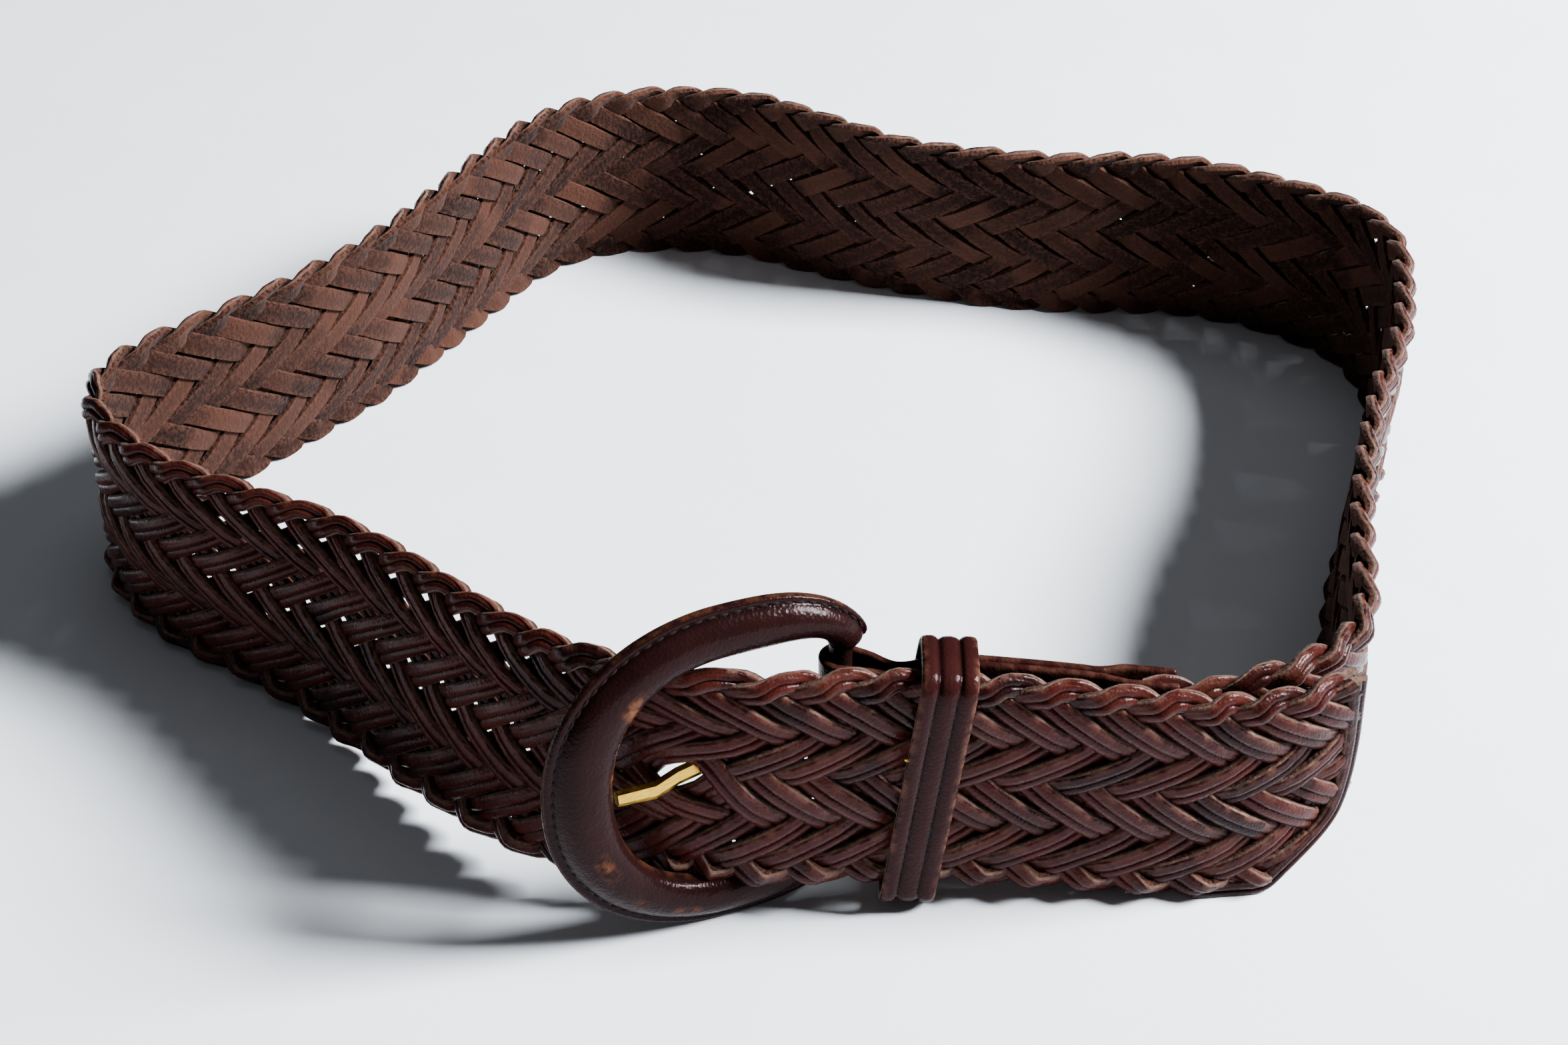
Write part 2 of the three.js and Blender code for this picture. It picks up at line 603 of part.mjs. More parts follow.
function prong(wasm) {
  const eyeRings = [];
  const inner = 1.02 * BAR_CLEAR;
  const outer = inner + PRONG_EYE;
  const sides = 14;
  const halfHigh = 0.7 * PRONG_HEIGHT;
  for (let k = 0; k < sides; k++) {
    const turn = k * 2 * Math.PI / sides;
    const at = (r, v) => onFrame(BAR_U + r * Math.cos(turn), CENTRE_V + v, r * Math.sin(turn));
    eyeRings.push([at(inner, -halfHigh), at(outer, -halfHigh), at(outer, halfHigh), at(inner, halfHigh)]);
  }
  const eye = toManifold(wasm, loft(eyeRings, true));
  const root = { u: BAR_U - inner - PRONG_EYE / 2, v: 0, w: 0.32 * RIM_DOME, big: 1 };
  const line = [root, ...PRONG_LINE.map((stop) => ({
    u: stop.u * BAR_U,
    v: stop.v * PRONG_HEIGHT,
    w: stop.w * RIM_DOME,
    big: 1,
  }))];
  const end = { u: CENTRE_U - INNER_U + 2.5 * GAP, v: -0.6 * PRONG_HEIGHT, w: 0.15 * RIM_DOME };
  line.push({ ...end, big: 0.85 });
  const rings = line.map((stop, i) => {
    const before = line[Math.max(i - 1, 0)];
    const after = line[Math.min(i + 1, line.length - 1)];
    const du = after.u - before.u;
    const dw = after.w - before.w;
    const run = Math.hypot(du, dw);
    const side = { u: -dw / run, w: du / run };
    const hv = PRONG_HEIGHT / 2 * stop.big;
    const hw = PRONG_THICK / 2;
    const corners = [[-hv, -0.6], [-hv, 0.6], [-0.3 * hv, 1], [hv, 0.7], [hv, -0.7], [0.1 * hv, -1]];
    return corners.map(([v, q]) => onFrame(
      stop.u + side.u * q * hw, CENTRE_V + stop.v + v, stop.w + side.w * q * hw,
    ));
  });
  return fromManifold(eye.add(toManifold(wasm, loft(rings, false))));
}

// Keeper: a grooved leather band round both layers.
function keeper() {
  const tip = PATH.find((row) => row.x < KEEPER_PLACE);
  const rearY = onTab(KEEPER_PLACE, 0, 0)[1];
  const before = pathAt(tip.s - KEEPER_WIDTH / 2);
  const after = pathAt(tip.s + KEEPER_WIDTH / 2);
  const course = (after.y - before.y) / (after.x - before.x);
  const front = tip.y - STRAND_RIDGE - 3 * GAP;
  const back = rearY + TAB_LEATHER + SEAT + 4 * GAP;
  const low = -KEEPER_SLACK;
  const high = STRAP_WIDTH + GAP;
  const corner = (back - front) / 5;
  const middle = { y: (front + back) / 2, z: (low + high) / 2 };
  const reach = { y: (back - front) / 2, z: (high - low) / 2 };
  const slope = -LIFT * LIFT_SLOPE;
  const path = [];
  const quarter = 3;
  const corners = [[1, 1, 0], [-1, 1, 1], [-1, -1, 2], [1, -1, 3]];
  for (const [sy, sz, first] of corners) {
    for (let k = 0; k <= quarter; k++) {
      const angle = (first + k / quarter) * Math.PI / 2;
      const normal = { y: Math.cos(angle), z: Math.sin(angle) };
      path.push({
        y: middle.y + sy * (reach.y - corner) + normal.y * corner,
        z: middle.z + sz * (reach.z - corner) + normal.z * corner,
        normal,
      });
    }
  }
  const profile = [
    [-1, 0], [1, 0], [1, 0.7], [0.86, 1], [0.62, 1], [0.5, 0.55], [0.38, 0.85],
    [-0.38, 0.85], [-0.5, 0.55], [-0.62, 1], [-0.86, 1], [-1, 0.7],
  ];
  const rings = path.map((stop) => profile.map(([q, up]) => {
    const r = up * KEEPER_LEATHER;
    const z = stop.z + stop.normal.z * r;
    const x = KEEPER_PLACE - slope * (z - STRAP_WIDTH / 2) + q * KEEPER_WIDTH / 2;
    const y = stop.y + stop.normal.y * r + course * (x - KEEPER_PLACE);
    return [x, y, z + LIFT * tip.lift + slope * q * KEEPER_WIDTH / 2];
  }));
  return loft(rings, true);
}

function toManifold(wasm, geometry) {
  const plain = geometry.clone();
  plain.deleteAttribute('normal');
  plain.deleteAttribute('uv');
  const welded = weld(plain);
  const mesh = new wasm.Mesh({
    numProp: 3,
    vertProperties: new Float32Array(welded.points),
    triVerts: new Uint32Array(welded.index),
  });
  return new wasm.Manifold(mesh);
}

function weld(geometry) {
  const position = geometry.getAttribute('position');
  const index = geometry.getIndex();
  const seen = new Map();
  const points = [];
  const remap = [];
  for (let i = 0; i < position.count; i++) {
    const p = [position.getX(i), position.getY(i), position.getZ(i)];
    const key = p.map((value) => Math.round(value * 1e4)).join(' ');
    if (!seen.has(key)) {
      seen.set(key, points.length / 3);
      points.push(...p);
    }
    remap.push(seen.get(key));
  }
  const order = index ? Array.from(index.array) : [...Array(position.count).keys()];
  return { points, index: order.map((i) => remap[i]) };
}

function fromManifold(body) {
  const mesh = body.getMesh();
  const geometry = new THREE.BufferGeometry();
  const points = [];
  for (let i = 0; i < mesh.vertProperties.length; i += mesh.numProp) {
    points.push(mesh.vertProperties[i], mesh.vertProperties[i + 1], mesh.vertProperties[i + 2]);
  }
  geometry.setAttribute('position', new THREE.Float32BufferAttribute(points, 3));
  geometry.setIndex(Array.from(mesh.triVerts));
  return geometry;
}

function prongHole(wasm, strap) {
  const near = PATH.find((row) => row.x < -0.855 * BAR_U).s;
  const middle = STRAP_WIDTH / 2 - 0.46 * PRONG_HEIGHT;
  const wide = 0.59 * LOOP_PITCH;
  const high = 0.42 * LOOP_PITCH;
  const rings = [];
  for (const d of [-3 * STRAND_RIDGE, 3 * STRAND_RIDGE]) {
    const ring = [];
    for (let k = 0; k < 8; k++) {
      const turn = (k + 0.5) * Math.PI / 4;
      ring.push(onStrap(near + wide * Math.cos(turn), middle + high * Math.sin(turn), d));
    }
    rings.push(ring);
  }
  return fromManifold(toManifold(wasm, strap).subtract(toManifold(wasm, loft(rings, false))));
}

const wasm = await Module();
wasm.setup();

const pieces = [
  { name: 'braided_strap', geometry: prongHole(wasm, weave()), color: 0x3a1d16 },
  { name: 'buckle_frame', geometry: buckleFrame(), color: 0x2c1512 },
  { name: 'buckle_tab', geometry: buckleTab(wasm), color: 0x35191a },
  { name: 'buckle_prong', geometry: prong(wasm), color: 0xc9a24a },
  { name: 'keeper_loop', geometry: keeper(), color: 0x3c1c1e },
];

const bounds = new THREE.Box3();
for (const piece of pieces) {
  piece.geometry.computeBoundingBox();
  bounds.union(piece.geometry.boundingBox);
}
const centre = bounds.getCenter(new THREE.Vector3());

const belt = new THREE.Group();
belt.name = 'braided_belt';
for (const piece of pieces) {
  piece.geometry.translate(-centre.x, -centre.y, -bounds.min.z);
  piece.geometry.computeVertexNormals();
  const metal = piece.name === 'buckle_prong';
  const material = new THREE.MeshStandardMaterial({
    color: piece.color,
    metalness: metal ? 1 : 0,
    roughness: metal ? 0.3 : 0.5,
    flatShading: true,
  });
  const mesh = new THREE.Mesh(piece.geometry, material);
  mesh.name = piece.name;
  belt.add(mesh);
}

export default belt;
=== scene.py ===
"""Looks of the braided belt: plaited strands, leather-covered buckle, tab, keeper and prong.

Shapes are worked out in millimetres on a plan whose origin is the buckle's bar, with Z up,
and are moved to the frame's metres when each mesh is made.
"""
import math

import bmesh
import bpy
import numpy as np
from mathutils import Matrix, Vector


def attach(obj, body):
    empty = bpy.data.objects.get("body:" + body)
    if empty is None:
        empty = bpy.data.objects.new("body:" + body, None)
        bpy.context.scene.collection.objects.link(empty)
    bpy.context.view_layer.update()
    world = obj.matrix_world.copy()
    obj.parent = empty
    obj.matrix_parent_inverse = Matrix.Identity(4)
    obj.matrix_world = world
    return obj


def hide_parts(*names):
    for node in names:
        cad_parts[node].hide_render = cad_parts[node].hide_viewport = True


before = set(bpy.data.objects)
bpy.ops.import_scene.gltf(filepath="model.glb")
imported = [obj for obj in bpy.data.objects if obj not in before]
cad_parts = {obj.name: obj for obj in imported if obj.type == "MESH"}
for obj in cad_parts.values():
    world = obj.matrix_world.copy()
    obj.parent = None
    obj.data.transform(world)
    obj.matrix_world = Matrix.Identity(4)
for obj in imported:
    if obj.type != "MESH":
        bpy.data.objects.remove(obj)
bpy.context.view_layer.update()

MM = 0.001
SHARP = math.radians(58)
BAR_PLACE = np.array([14.005, -113.369, 0.0])

# Strap
STRAP_WIDTH = 50.0
LOOP_PITCH = 10.5
STRANDS = 15
STRAND_RIDGE = 2.1
STRAND_WIDTH = 5.25
STRAND_THICK = 2.0
TURN_INSET = 1.9
TURN_ROUND = 1.7
LOW_ROUND = 3.4
CROSSING = LOOP_PITCH / 2
SLOPE_STEP = 2.0
BUCKLE_SQUEEZE = 0.094
LOW_SQUEEZE = -0.07
SQUEEZE_REACH = 14.0
TIP_LENGTH = 16.5

# Buckle
RIM_WIDTH = 10.5
RIM_CROWN = 13.6
FRAME_HEIGHT = STRAP_WIDTH + 2 * RIM_WIDTH
FRAME_LENGTH = 0.91 * FRAME_HEIGHT
RIM_DOME = 3.7
RIM_BACK = 2.2
BAR_RADIUS = 2.2
BAR_U = 0.5 * FRAME_HEIGHT
FRAME_YAW = math.radians(24)
FRAME_LEAN = math.radians(4.5)

# Fits
GAP = 0.35
TAB_LEATHER = 1.7
TAB_LENGTH = 60.0
TAB_POCKET = 10.0
TONGUE_HALF = 1.1
TONGUE_NARROW = 0.94
KEEPER_WIDTH = 10.6
KEEPER_LEATHER = 1.8
KEEPER_PLACE = 15.5
KEEPER_SLACK = 2.6
PRONG_HEIGHT = 3.0
SEAT = 0.1
LIFT = RIM_WIDTH - 0.1
LIFT_SLOPE = 0.0098

# Middle line of the strap from above, from the tip round to the tab: x, y, out, lift.
# out: how far the lower edge stands outside the upper edge. lift: share of LIFT.
STATIONS = [
    (97.4, 11.2, 0.0, 0.0),
    (94.4, 8.4, 0.0, 0.0),
    (87.6, 4.1, 0.0, 0.0),
    (79.4, 1.0, 0.0, 0.0),
    (70.2, -0.7, 0.0, 0.01),
    (59.2, -1.6, 0.3, 0.10),
    (45.2, -2.0, 0.6, 0.24),
    (31.2, -2.6, 1.0, 0.38),
    (17.2, -3.8, 1.2, 0.52),
    (5.2, -5.3, 1.5, 0.65),
    (-5.8, -7.2, 1.8, 0.78),
    (-15.8, -8.4, 1.9, 0.91),
    (-24.8, -8.3, 2.0, 1.0),
    (-33.8, -7.3, 2.4, 0.98),
    (-42.8, -5.3, 3.6, 0.85),
    (-51.8, -2.1, 6.2, 0.72),
    (-60.3, 3.1, 8.2, 0.60),
    (-68.8, 10.1, 9.2, 0.49),
    (-77.3, 18.1, 10.0, 0.38),
    (-86.3, 27.1, 10.4, 0.28),
    (-95.8, 36.3, 9.8, 0.18),
    (-105.8, 45.1, 8.2, 0.09),
    (-116.8, 52.7, 5.6, 0.02),
    (-128.8, 59.9, 3.6, 0.0),
    (-140.8, 66.9, 2.2, 0.0),
    (-150.8, 74.9, 1.2, 0.0),
    (-158.2, 84.3, 0.6, 0.0),
    (-162.4, 94.5, 0.4, 0.0),
    (-161.4, 104.7, 0.2, 0.0),
    (-156.2, 113.9, 0.8, 0.0),
    (-149.2, 122.1, 1.8, 0.0),
    (-141.0, 131.5, 3.4, 0.0),
    (-131.6, 142.1, 4.6, 0.0),
    (-122.2, 153.9, 5.4, 0.0),
    (-113.6, 166.3, 5.0, 0.0),
    (-105.8, 180.5, 4.0, 0.0),
    (-98.0, 196.1, 3.0, 0.0),
    (-90.2, 211.9, 2.8, 0.0),
    (-82.2, 226.1, 3.4, 0.0),
    (-73.2, 236.3, 4.0, 0.0),
    (-62.8, 242.5, 4.0, 0.0),
    (-50.8, 245.7, 3.2, 0.0),
    (-36.8, 246.3, 2.4, 0.0),
    (-23.2, 243.5, 2.0, 0.0),
    (-11.4, 238.1, 2.6, 0.0),
    (0.0, 231.7, 5.0, 0.0),
    (11.8, 225.7, 8.0, 0.0),
    (24.2, 221.5, 9.0, 0.0),
    (37.2, 218.9, 8.4, 0.0),
    (50.6, 217.3, 7.6, 0.0),
    (64.2, 217.1, 7.0, 0.0),
    (77.2, 217.5, 7.0, 0.0),
    (88.6, 216.5, 8.0, 0.0),
    (99.2, 213.7, 9.0, 0.0),
    (109.2, 209.5, 9.4, 0.0),
    (118.2, 203.5, 9.0, 0.0),
    (127.6, 195.9, 6.4, 0.0),
    (132.4, 186.3, 3.6, 0.0),
    (134.2, 175.1, 1.6, 0.0),
    (133.1, 163.1, 0.4, 0.0),
    (130.5, 150.1, -0.4, 0.0),
    (127.6, 137.5, -0.8, 0.0),
    (123.6, 125.7, -1.0, 0.0),
    (119.0, 114.1, -1.0, 0.0),
    (115.2, 102.9, -1.0, 0.0),
    (112.0, 91.5, -0.8, 0.0),
    (109.2, 79.9, -0.6, 0.0),
    (106.8, 68.3, -0.2, 0.0),
    (104.8, 56.5, 0.2, 0.0),
    (103.4, 44.5, 0.6, 0.0),
    (102.0, 33.5, 0.8, 0.0),
    (99.0, 24.7, 0.8, 0.0),
    (93.4, 17.7, 0.6, 0.0),
    (85.4, 11.9, 0.4, 0.0),
    (75.2, 7.3, 0.2, 0.01),
    (64.2, 4.7, 0.0, 0.06),
    (53.2, 4.1, 0.0, 0.16),
    (42.2, 3.7, 0.0, 0.27),
]

# Rounded end of the tip: share of the width, share of TIP_LENGTH from the far end.
TIP_OUTLINE = [
    (1.00, 0.12), (0.90, 0.09), (0.78, 0.05), (0.66, 0.01), (0.52, 0.00), (0.40, 0.04),
    (0.32, 0.11), (0.26, 0.25), (0.19, 0.49), (0.12, 0.72), (0.06, 0.89), (0.00, 1.00),
]


def smooth(value):
    """0 to 1 with a soft start and end."""
    value = np.clip(value, 0.0, 1.0)
    return value * value * (3 - 2 * value)


def hermite(keys, steps):
    """Rows of x, y, out, lift and length along a smooth line through the keys."""
    keys = np.array(keys)
    chord = np.hypot(np.diff(keys[:, 0]), np.diff(keys[:, 1]))
    slope = np.diff(keys, axis=0) / chord[:, None]
    middle = slope[:-1] * chord[1:, None] + slope[1:] * chord[:-1, None]
    weight = (chord[:-1] + chord[1:])[:, None]
    tangent = np.vstack([slope[:1], middle / weight, slope[-1:]])
    rows = []
    for i in range(len(keys) - 1):
        for k in range(steps):
            t = k / steps
            h = chord[i]
            rows.append(
                (2 * t**3 - 3 * t**2 + 1) * keys[i] + (t**3 - 2 * t**2 + t) * h * tangent[i]
                + (3 * t**2 - 2 * t**3) * keys[i + 1] + (t**3 - t**2) * h * tangent[i + 1]
            )
    rows.append(keys[-1])
    rows = np.array(rows)
    rows[:, 3] = np.maximum(rows[:, 3], 0.0)
    length = np.concatenate([[0.0], np.cumsum(np.hypot(np.diff(rows[:, 0]), np.diff(rows[:, 1])))])
    return np.column_stack([rows, length])


PATH = hermite(STATIONS, 8)
PATH_LENGTH = PATH[-1, 4]


def path_at(s):
    """x, y, out and lift of the middle line at places along the strap."""
    s = np.clip(s, 0.0, PATH_LENGTH)
    return [np.interp(s, PATH[:, 4], PATH[:, column]) for column in range(4)]


def last_beyond(x):
    """The last row of the path to the right of x: the rear layer beside the tab."""
    return PATH[np.nonzero(PATH[:, 0] > x)[0][-1]]


def first_past(x):
    """The first row of the path to the left of x: the front layer."""
    return PATH[np.nonzero(PATH[:, 0] < x)[0][0]]


SQUEEZE_AT = first_past(-0.6 * BAR_U)[4]
HOLE_AT = first_past(-0.855 * BAR_U)[4]
HOLE_Z = STRAP_WIDTH / 2 - 0.46 * PRONG_HEIGHT
STRAP_END = last_beyond(TAB_LENGTH - TAB_POCKET + 2 * GAP)[4]
TONGUE_START = last_beyond(TAB_LENGTH + 2 * GAP)[4]


def on_strap(s, z, d):
    """Points s along the strap, z up its width and d outward from its middle."""
    x, y, out, lift = path_at(s)
    bx, by, _, back = path_at(s - SLOPE_STEP)
    ax, ay, _, ahead = path_at(s + SLOPE_STEP)
    run = np.hypot(ax - bx, ay - by)
    tx, ty = (ax - bx) / run, (ay - by) / run
    slope = LIFT * (ahead - back) / run
    away = (s - SQUEEZE_AT) / SQUEEZE_REACH
    squeeze = np.where(z < STRAP_WIDTH / 2, LOW_SQUEEZE, BUCKLE_SQUEEZE)
    v = (z - STRAP_WIDTH / 2) * (1 - squeeze * np.exp(-away**2))
    lean = out / STRAP_WIDTH
    along = -v * slope
    across = d - v * lean
    rise = d * lean * np.clip(6 * z / STRAP_WIDTH, 0, 1)
    return np.stack([
        x + tx * along - ty * across,
        y + ty * along + tx * across,
        LIFT * lift + STRAP_WIDTH / 2 + v + rise,
    ], axis=-1)


# Meshes

def make_mesh(name, points, faces, slots, materials):
    """A closed object from plan points in millimetres, with a material index for each face."""
    mesh = bpy.data.meshes.new(name)
    mesh.from_pydata([tuple((p + BAR_PLACE) * MM) for p in points], [], faces)
    for material in materials:
        mesh.materials.append(material)
    if slots is not None:
        mesh.polygons.foreach_set("material_index", slots)
    mesh.polygons.foreach_set("use_smooth", [True] * len(mesh.polygons))
    mesh.update()
    piece = bpy.data.objects.new(name, mesh)
    bpy.context.scene.collection.objects.link(piece)
    shell = bmesh.new()
    shell.from_mesh(mesh)
    bmesh.ops.recalc_face_normals(shell, faces=shell.faces)
    for edge in shell.edges:
        edge.smooth = edge.calc_face_angle(0.0) < SHARP
    shell.to_mesh(mesh)
    shell.free()
    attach(piece, "root")
    return piece


def paint_leather(mesh, paint):
    """Gives each point of a mesh its tone, wear (partly painted highlight) and crease shade (painted
    shade), as four numbers a point.
    """
    layer = mesh.color_attributes.new("leather", "FLOAT_COLOR", "POINT")
    layer.data.foreach_set("color", np.array(paint).ravel())


def skin(rings, closed):
    """Faces between rings of equal count: (faces, index of the side of each face)."""
    count = len(rings[0])
    faces = []
    sides = []
    spans = len(rings) if closed else len(rings) - 1
    for r in range(spans):
        low = r * count
        high = (r + 1) % len(rings) * count
        for k in range(count):
            n = (k + 1) % count
            faces.append((low + k, low + n, high + n, high + k))
            sides.append(k)
    if not closed:
        faces.append(tuple(range(count)))
        faces.append(tuple(len(rings) * count - 1 - k for k in range(count)))
        sides.extend([-1, -1])
    return faces, sides


def add_subdivision(piece, levels):
    """Rounds a piece's surface."""
    modifier = piece.modifiers.new("Smooth", "SUBSURF")
    modifier.levels = levels
    modifier.render_levels = levels


# Materials

GRAIN_DARK = (0.0055, 0.0016, 0.0015)
GRAIN_LIGHT = (0.037, 0.0066, 0.0048)
# Rubbed raw colour, which on the strands' upper edges is also painted highlight.
GRAIN_WORN_AND_HIGHLIGHT = (0.090, 0.036, 0.026)
RAW_DARK = (0.030, 0.0125, 0.0075)
RAW_LIGHT = (0.12, 0.055, 0.031)
SUEDE_DARK = (0.0055, 0.0023, 0.0019)
SUEDE_MIDDLE = (0.0180, 0.0073, 0.0052)
SUEDE_LIGHT = (0.043, 0.0165, 0.0103)
RIM_DARK = (0.0040, 0.0014, 0.0014)
RIM_LIGHT = (0.011, 0.0034, 0.0032)
RIM_WORN = (0.17, 0.058, 0.022)
KEEPER_DARK = (0.0060, 0.0018, 0.0018)
KEEPER_LIGHT = (0.019, 0.0046, 0.0042)
KEEPER_WORN = (0.10, 0.040, 0.024)
THREAD = (0.010, 0.0042, 0.0036)
BRASS_DARK = (0.36, 0.19, 0.016)
BRASS_LIGHT = (0.58, 0.35, 0.04)
FLOOR = (0.86, 0.89, 0.94)
RUST = (1.25, 1.75, 1.45)
SHINE_TINT = (1.0, 0.62, 0.66, 1.0)


def new_material(name):
    """A material with its nodes, links and shader."""
    material = bpy.data.materials.new(name)
    material.use_nodes = True
    tree = material.node_tree
    return material, tree.nodes, tree.links, tree.nodes["Principled BSDF"]


def noise(nodes, links, scale, detail=4.0, stretch=None):
    """A noise texture fixed to the object, with its value output."""
    texture = nodes.new("ShaderNodeTexNoise")
    texture.inputs["Scale"].default_value = scale
    texture.inputs["Detail"].default_value = detail
    place = nodes.new("ShaderNodeTexCoord")
    if stretch is None:
        links.new(place.outputs["Object"], texture.inputs["Vector"])
    else:
        mapping = nodes.new("ShaderNodeMapping")
        mapping.inputs["Scale"].default_value = stretch
        links.new(place.outputs["Object"], mapping.inputs["Vector"])
        links.new(mapping.outputs["Vector"], texture.inputs["Vector"])
    return texture.outputs["Fac"]


def ramp(nodes, links, value, stops):
    """A colour ramp of (place, colour) stops driven by a value."""
    node = nodes.new("ShaderNodeValToRGB")
    keys = node.color_ramp.elements
    while len(keys) < len(stops):
        keys.new(0.5)
    for key, (place, color) in zip(keys, stops):
        key.position = place
        key.color = (*color, 1.0)
    links.new(value, node.inputs["Fac"])
    return node.outputs["Color"]


def mix(nodes, links, factor, first, second):
    """The first colour turning into the second as the factor goes from 0 to 1."""
    node = nodes.new("ShaderNodeMix")
    node.data_type = "RGBA"
    for socket, value in ((0, factor), (6, first), (7, second)):
        if isinstance(value, (tuple, float)):
            node.inputs[socket].default_value = (*value, 1.0) if isinstance(value, tuple) else value
        else:
            links.new(value, node.inputs[socket])
    return node.outputs[2]


def span(nodes, links, value, low, high, out_low=0.0, out_high=1.0):
    """A value moved from one range to another and kept inside it."""
    node = nodes.new("ShaderNodeMapRange")
    node.inputs["From Min"].default_value = low
    node.inputs["From Max"].default_value = high
    node.inputs["To Min"].default_value = out_low
    node.inputs["To Max"].default_value = out_high
    links.new(value, node.inputs["Value"])
    return node.outputs["Result"]


def times(nodes, links, first, second):
    """The product of two values."""
    node = nodes.new("ShaderNodeMath")
    node.operation = "MULTIPLY"
    for socket, value in ((0, first), (1, second)):
        if isinstance(value, float):
            node.inputs[socket].default_value = value
        else:
            links.new(value, node.inputs[socket])
    return node.outputs[0]


def painted(nodes, links, channel):
    """One channel of the colours that each mesh carries: tone, wear (partly painted highlight) or crease
    shade (painted shade).
    """
    attribute = nodes.new("ShaderNodeAttribute")
    attribute.attribute_name = "leather"
    split = nodes.new("ShaderNodeSeparateColor")
    links.new(attribute.outputs["Color"], split.inputs["Color"])
    return split.outputs[channel]


def bump(nodes, links, shader, heights):
    """Chained bumps of (value, strength, distance in metres)."""
    last = None
    for value, strength, distance in heights:
        node = nodes.new("ShaderNodeBump")
        node.inputs["Strength"].default_value = strength
        node.inputs["Distance"].default_value = distance
        links.new(value, node.inputs["Height"])
        if last is not None:
            links.new(last, node.inputs["Normal"])
        last = node.outputs["Normal"]
    links.new(last, shader.inputs["Normal"])


def grain_leather(name, dark, light, worn_and_highlight, rough, shine):
    """Glossy finished leather: pores, cloudy dye, painted shade in creases, and edges rubbed to the raw
    colour;
    on the strands' upper edges that rubbed colour is also painted highlight.

    The tone turns it from dark to light and then rusty. shine is its gloss and its coat.
    """
    material, nodes, links, shader = new_material(name)
    clouds = noise(nodes, links, 90.0, 5.0)
    base = ramp(nodes, links, clouds, [(0.35, dark), (0.72, light)])
    tone = painted(nodes, links, "Red")
    rusty = tuple(c * share for c, share in zip(light, RUST))
    shade = ramp(nodes, links, tone, [(0.05, dark), (0.45, light), (0.75, light), (0.95, rusty)])
    base = mix(nodes, links, 0.6, base, shade)
    # Painted shade: the crease shade darkens grooves, creases and the strands' lower edges.
    crease_shade = painted(nodes, links, "Blue")
    base = mix(nodes, links, times(nodes, links, crease_shade, 0.75), base, tuple(c * 0.3 for c in dark))
    # Rubbed raw colour at the edges; on the strands' upper edges it is also painted highlight.
    scuffs = noise(nodes, links, 420.0, 6.0)
    wear_and_highlight = times(nodes, links, painted(nodes, links, "Green"), span(nodes, links, scuffs, 0.42, 0.62))
    base = mix(nodes, links, wear_and_highlight, base, worn_and_highlight)
    links.new(base, shader.inputs["Base Color"])
    dull = noise(nodes, links, 240.0, 3.0)
    links.new(span(nodes, links, dull, 0.3, 0.7, *rough), shader.inputs["Roughness"])
    pores = nodes.new("ShaderNodeTexVoronoi")
    pores.inputs["Scale"].default_value = 1500.0
    place = nodes.new("ShaderNodeTexCoord")
    links.new(place.outputs["Object"], pores.inputs["Vector"])
    bump(nodes, links, shader, [
        (pores.outputs["Distance"], 0.25, 0.0003),
        (noise(nodes, links, 300.0, 4.0), 0.3, 0.0006),
    ])
    shader.inputs["Specular IOR Level"].default_value = shine[0]
    shader.inputs["Specular Tint"].default_value = SHINE_TINT
    shader.inputs["Coat Weight"].default_value = shine[1]
    shader.inputs["Coat Roughness"].default_value = 0.15
    return material


def raw_leather(name, dark, light):
    """Cut edge of leather: pale fibres."""
    material, nodes, links, shader = new_material(name)
    fibres = noise(nodes, links, 900.0, 6.0)
    tone = painted(nodes, links, "Red")
    base = ramp(nodes, links, fibres, [(0.35, dark), (0.68, light)])
    base = mix(nodes, links, span(nodes, links, tone, 0.0, 1.0, 0.0, 0.6), base, dark)
    links.new(base, shader.inputs["Base Color"])
    shader.inputs["Roughness"].default_value = 0.85
    bump(nodes, links, shader, [(fibres, 0.7, 0.0004)])
    return material


def suede(name, dark, middle, light):
    """Flesh side of leather: a short nap, brown in many shades."""
    material, nodes, links, shader = new_material(name)
    nap = noise(nodes, links, 1100.0, 6.0)
    patches = noise(nodes, links, 60.0, 4.0)
    tone = painted(nodes, links, "Red")
    base = ramp(nodes, links, tone, [(0.1, dark), (0.5, middle), (0.95, light)])
    base = mix(nodes, links, span(nodes, links, patches, 0.35, 0.7, 0.0, 0.35), base, middle)
    base = mix(nodes, links, span(nodes, links, nap, 0.4, 0.75, 0.0, 0.35), base, light)
    # Paler rubbed flesh at the edges; on the strands' upper edges this is also painted highlight.
    wear_and_highlight = times(nodes, links, painted(nodes, links, "Green"), span(nodes, links, nap, 0.4, 0.6))
    base = mix(nodes, links, wear_and_highlight, base, tuple(min(1.0, 1.6 * c) for c in light))
    links.new(base, shader.inputs["Base Color"])
    shader.inputs["Roughness"].default_value = 0.95
    shader.inputs["Specular IOR Level"].default_value = 0.04
    shader.inputs["Sheen Weight"].default_value = 0.03
    shader.inputs["Sheen Roughness"].default_value = 0.5
    bump(nodes, links, shader, [(nap, 0.8, 0.0006)])
    return material


def brass(name):
    """Yellow metal with fine marks along it."""
    material, nodes, links, shader = new_material(name)
    marks = noise(nodes, links, 500.0, 5.0, (1.0, 1.0, 4.0))
    base = ramp(nodes, links, marks, [(0.3, BRASS_DARK), (0.7, BRASS_LIGHT)])
    links.new(base, shader.inputs["Base Color"])
    links.new(span(nodes, links, marks, 0.3, 0.7, 0.22, 0.38), shader.inputs["Roughness"])
    shader.inputs["Metallic"].default_value = 1.0
    bump(nodes, links, shader, [(marks, 0.15, 0.0002)])
    return material


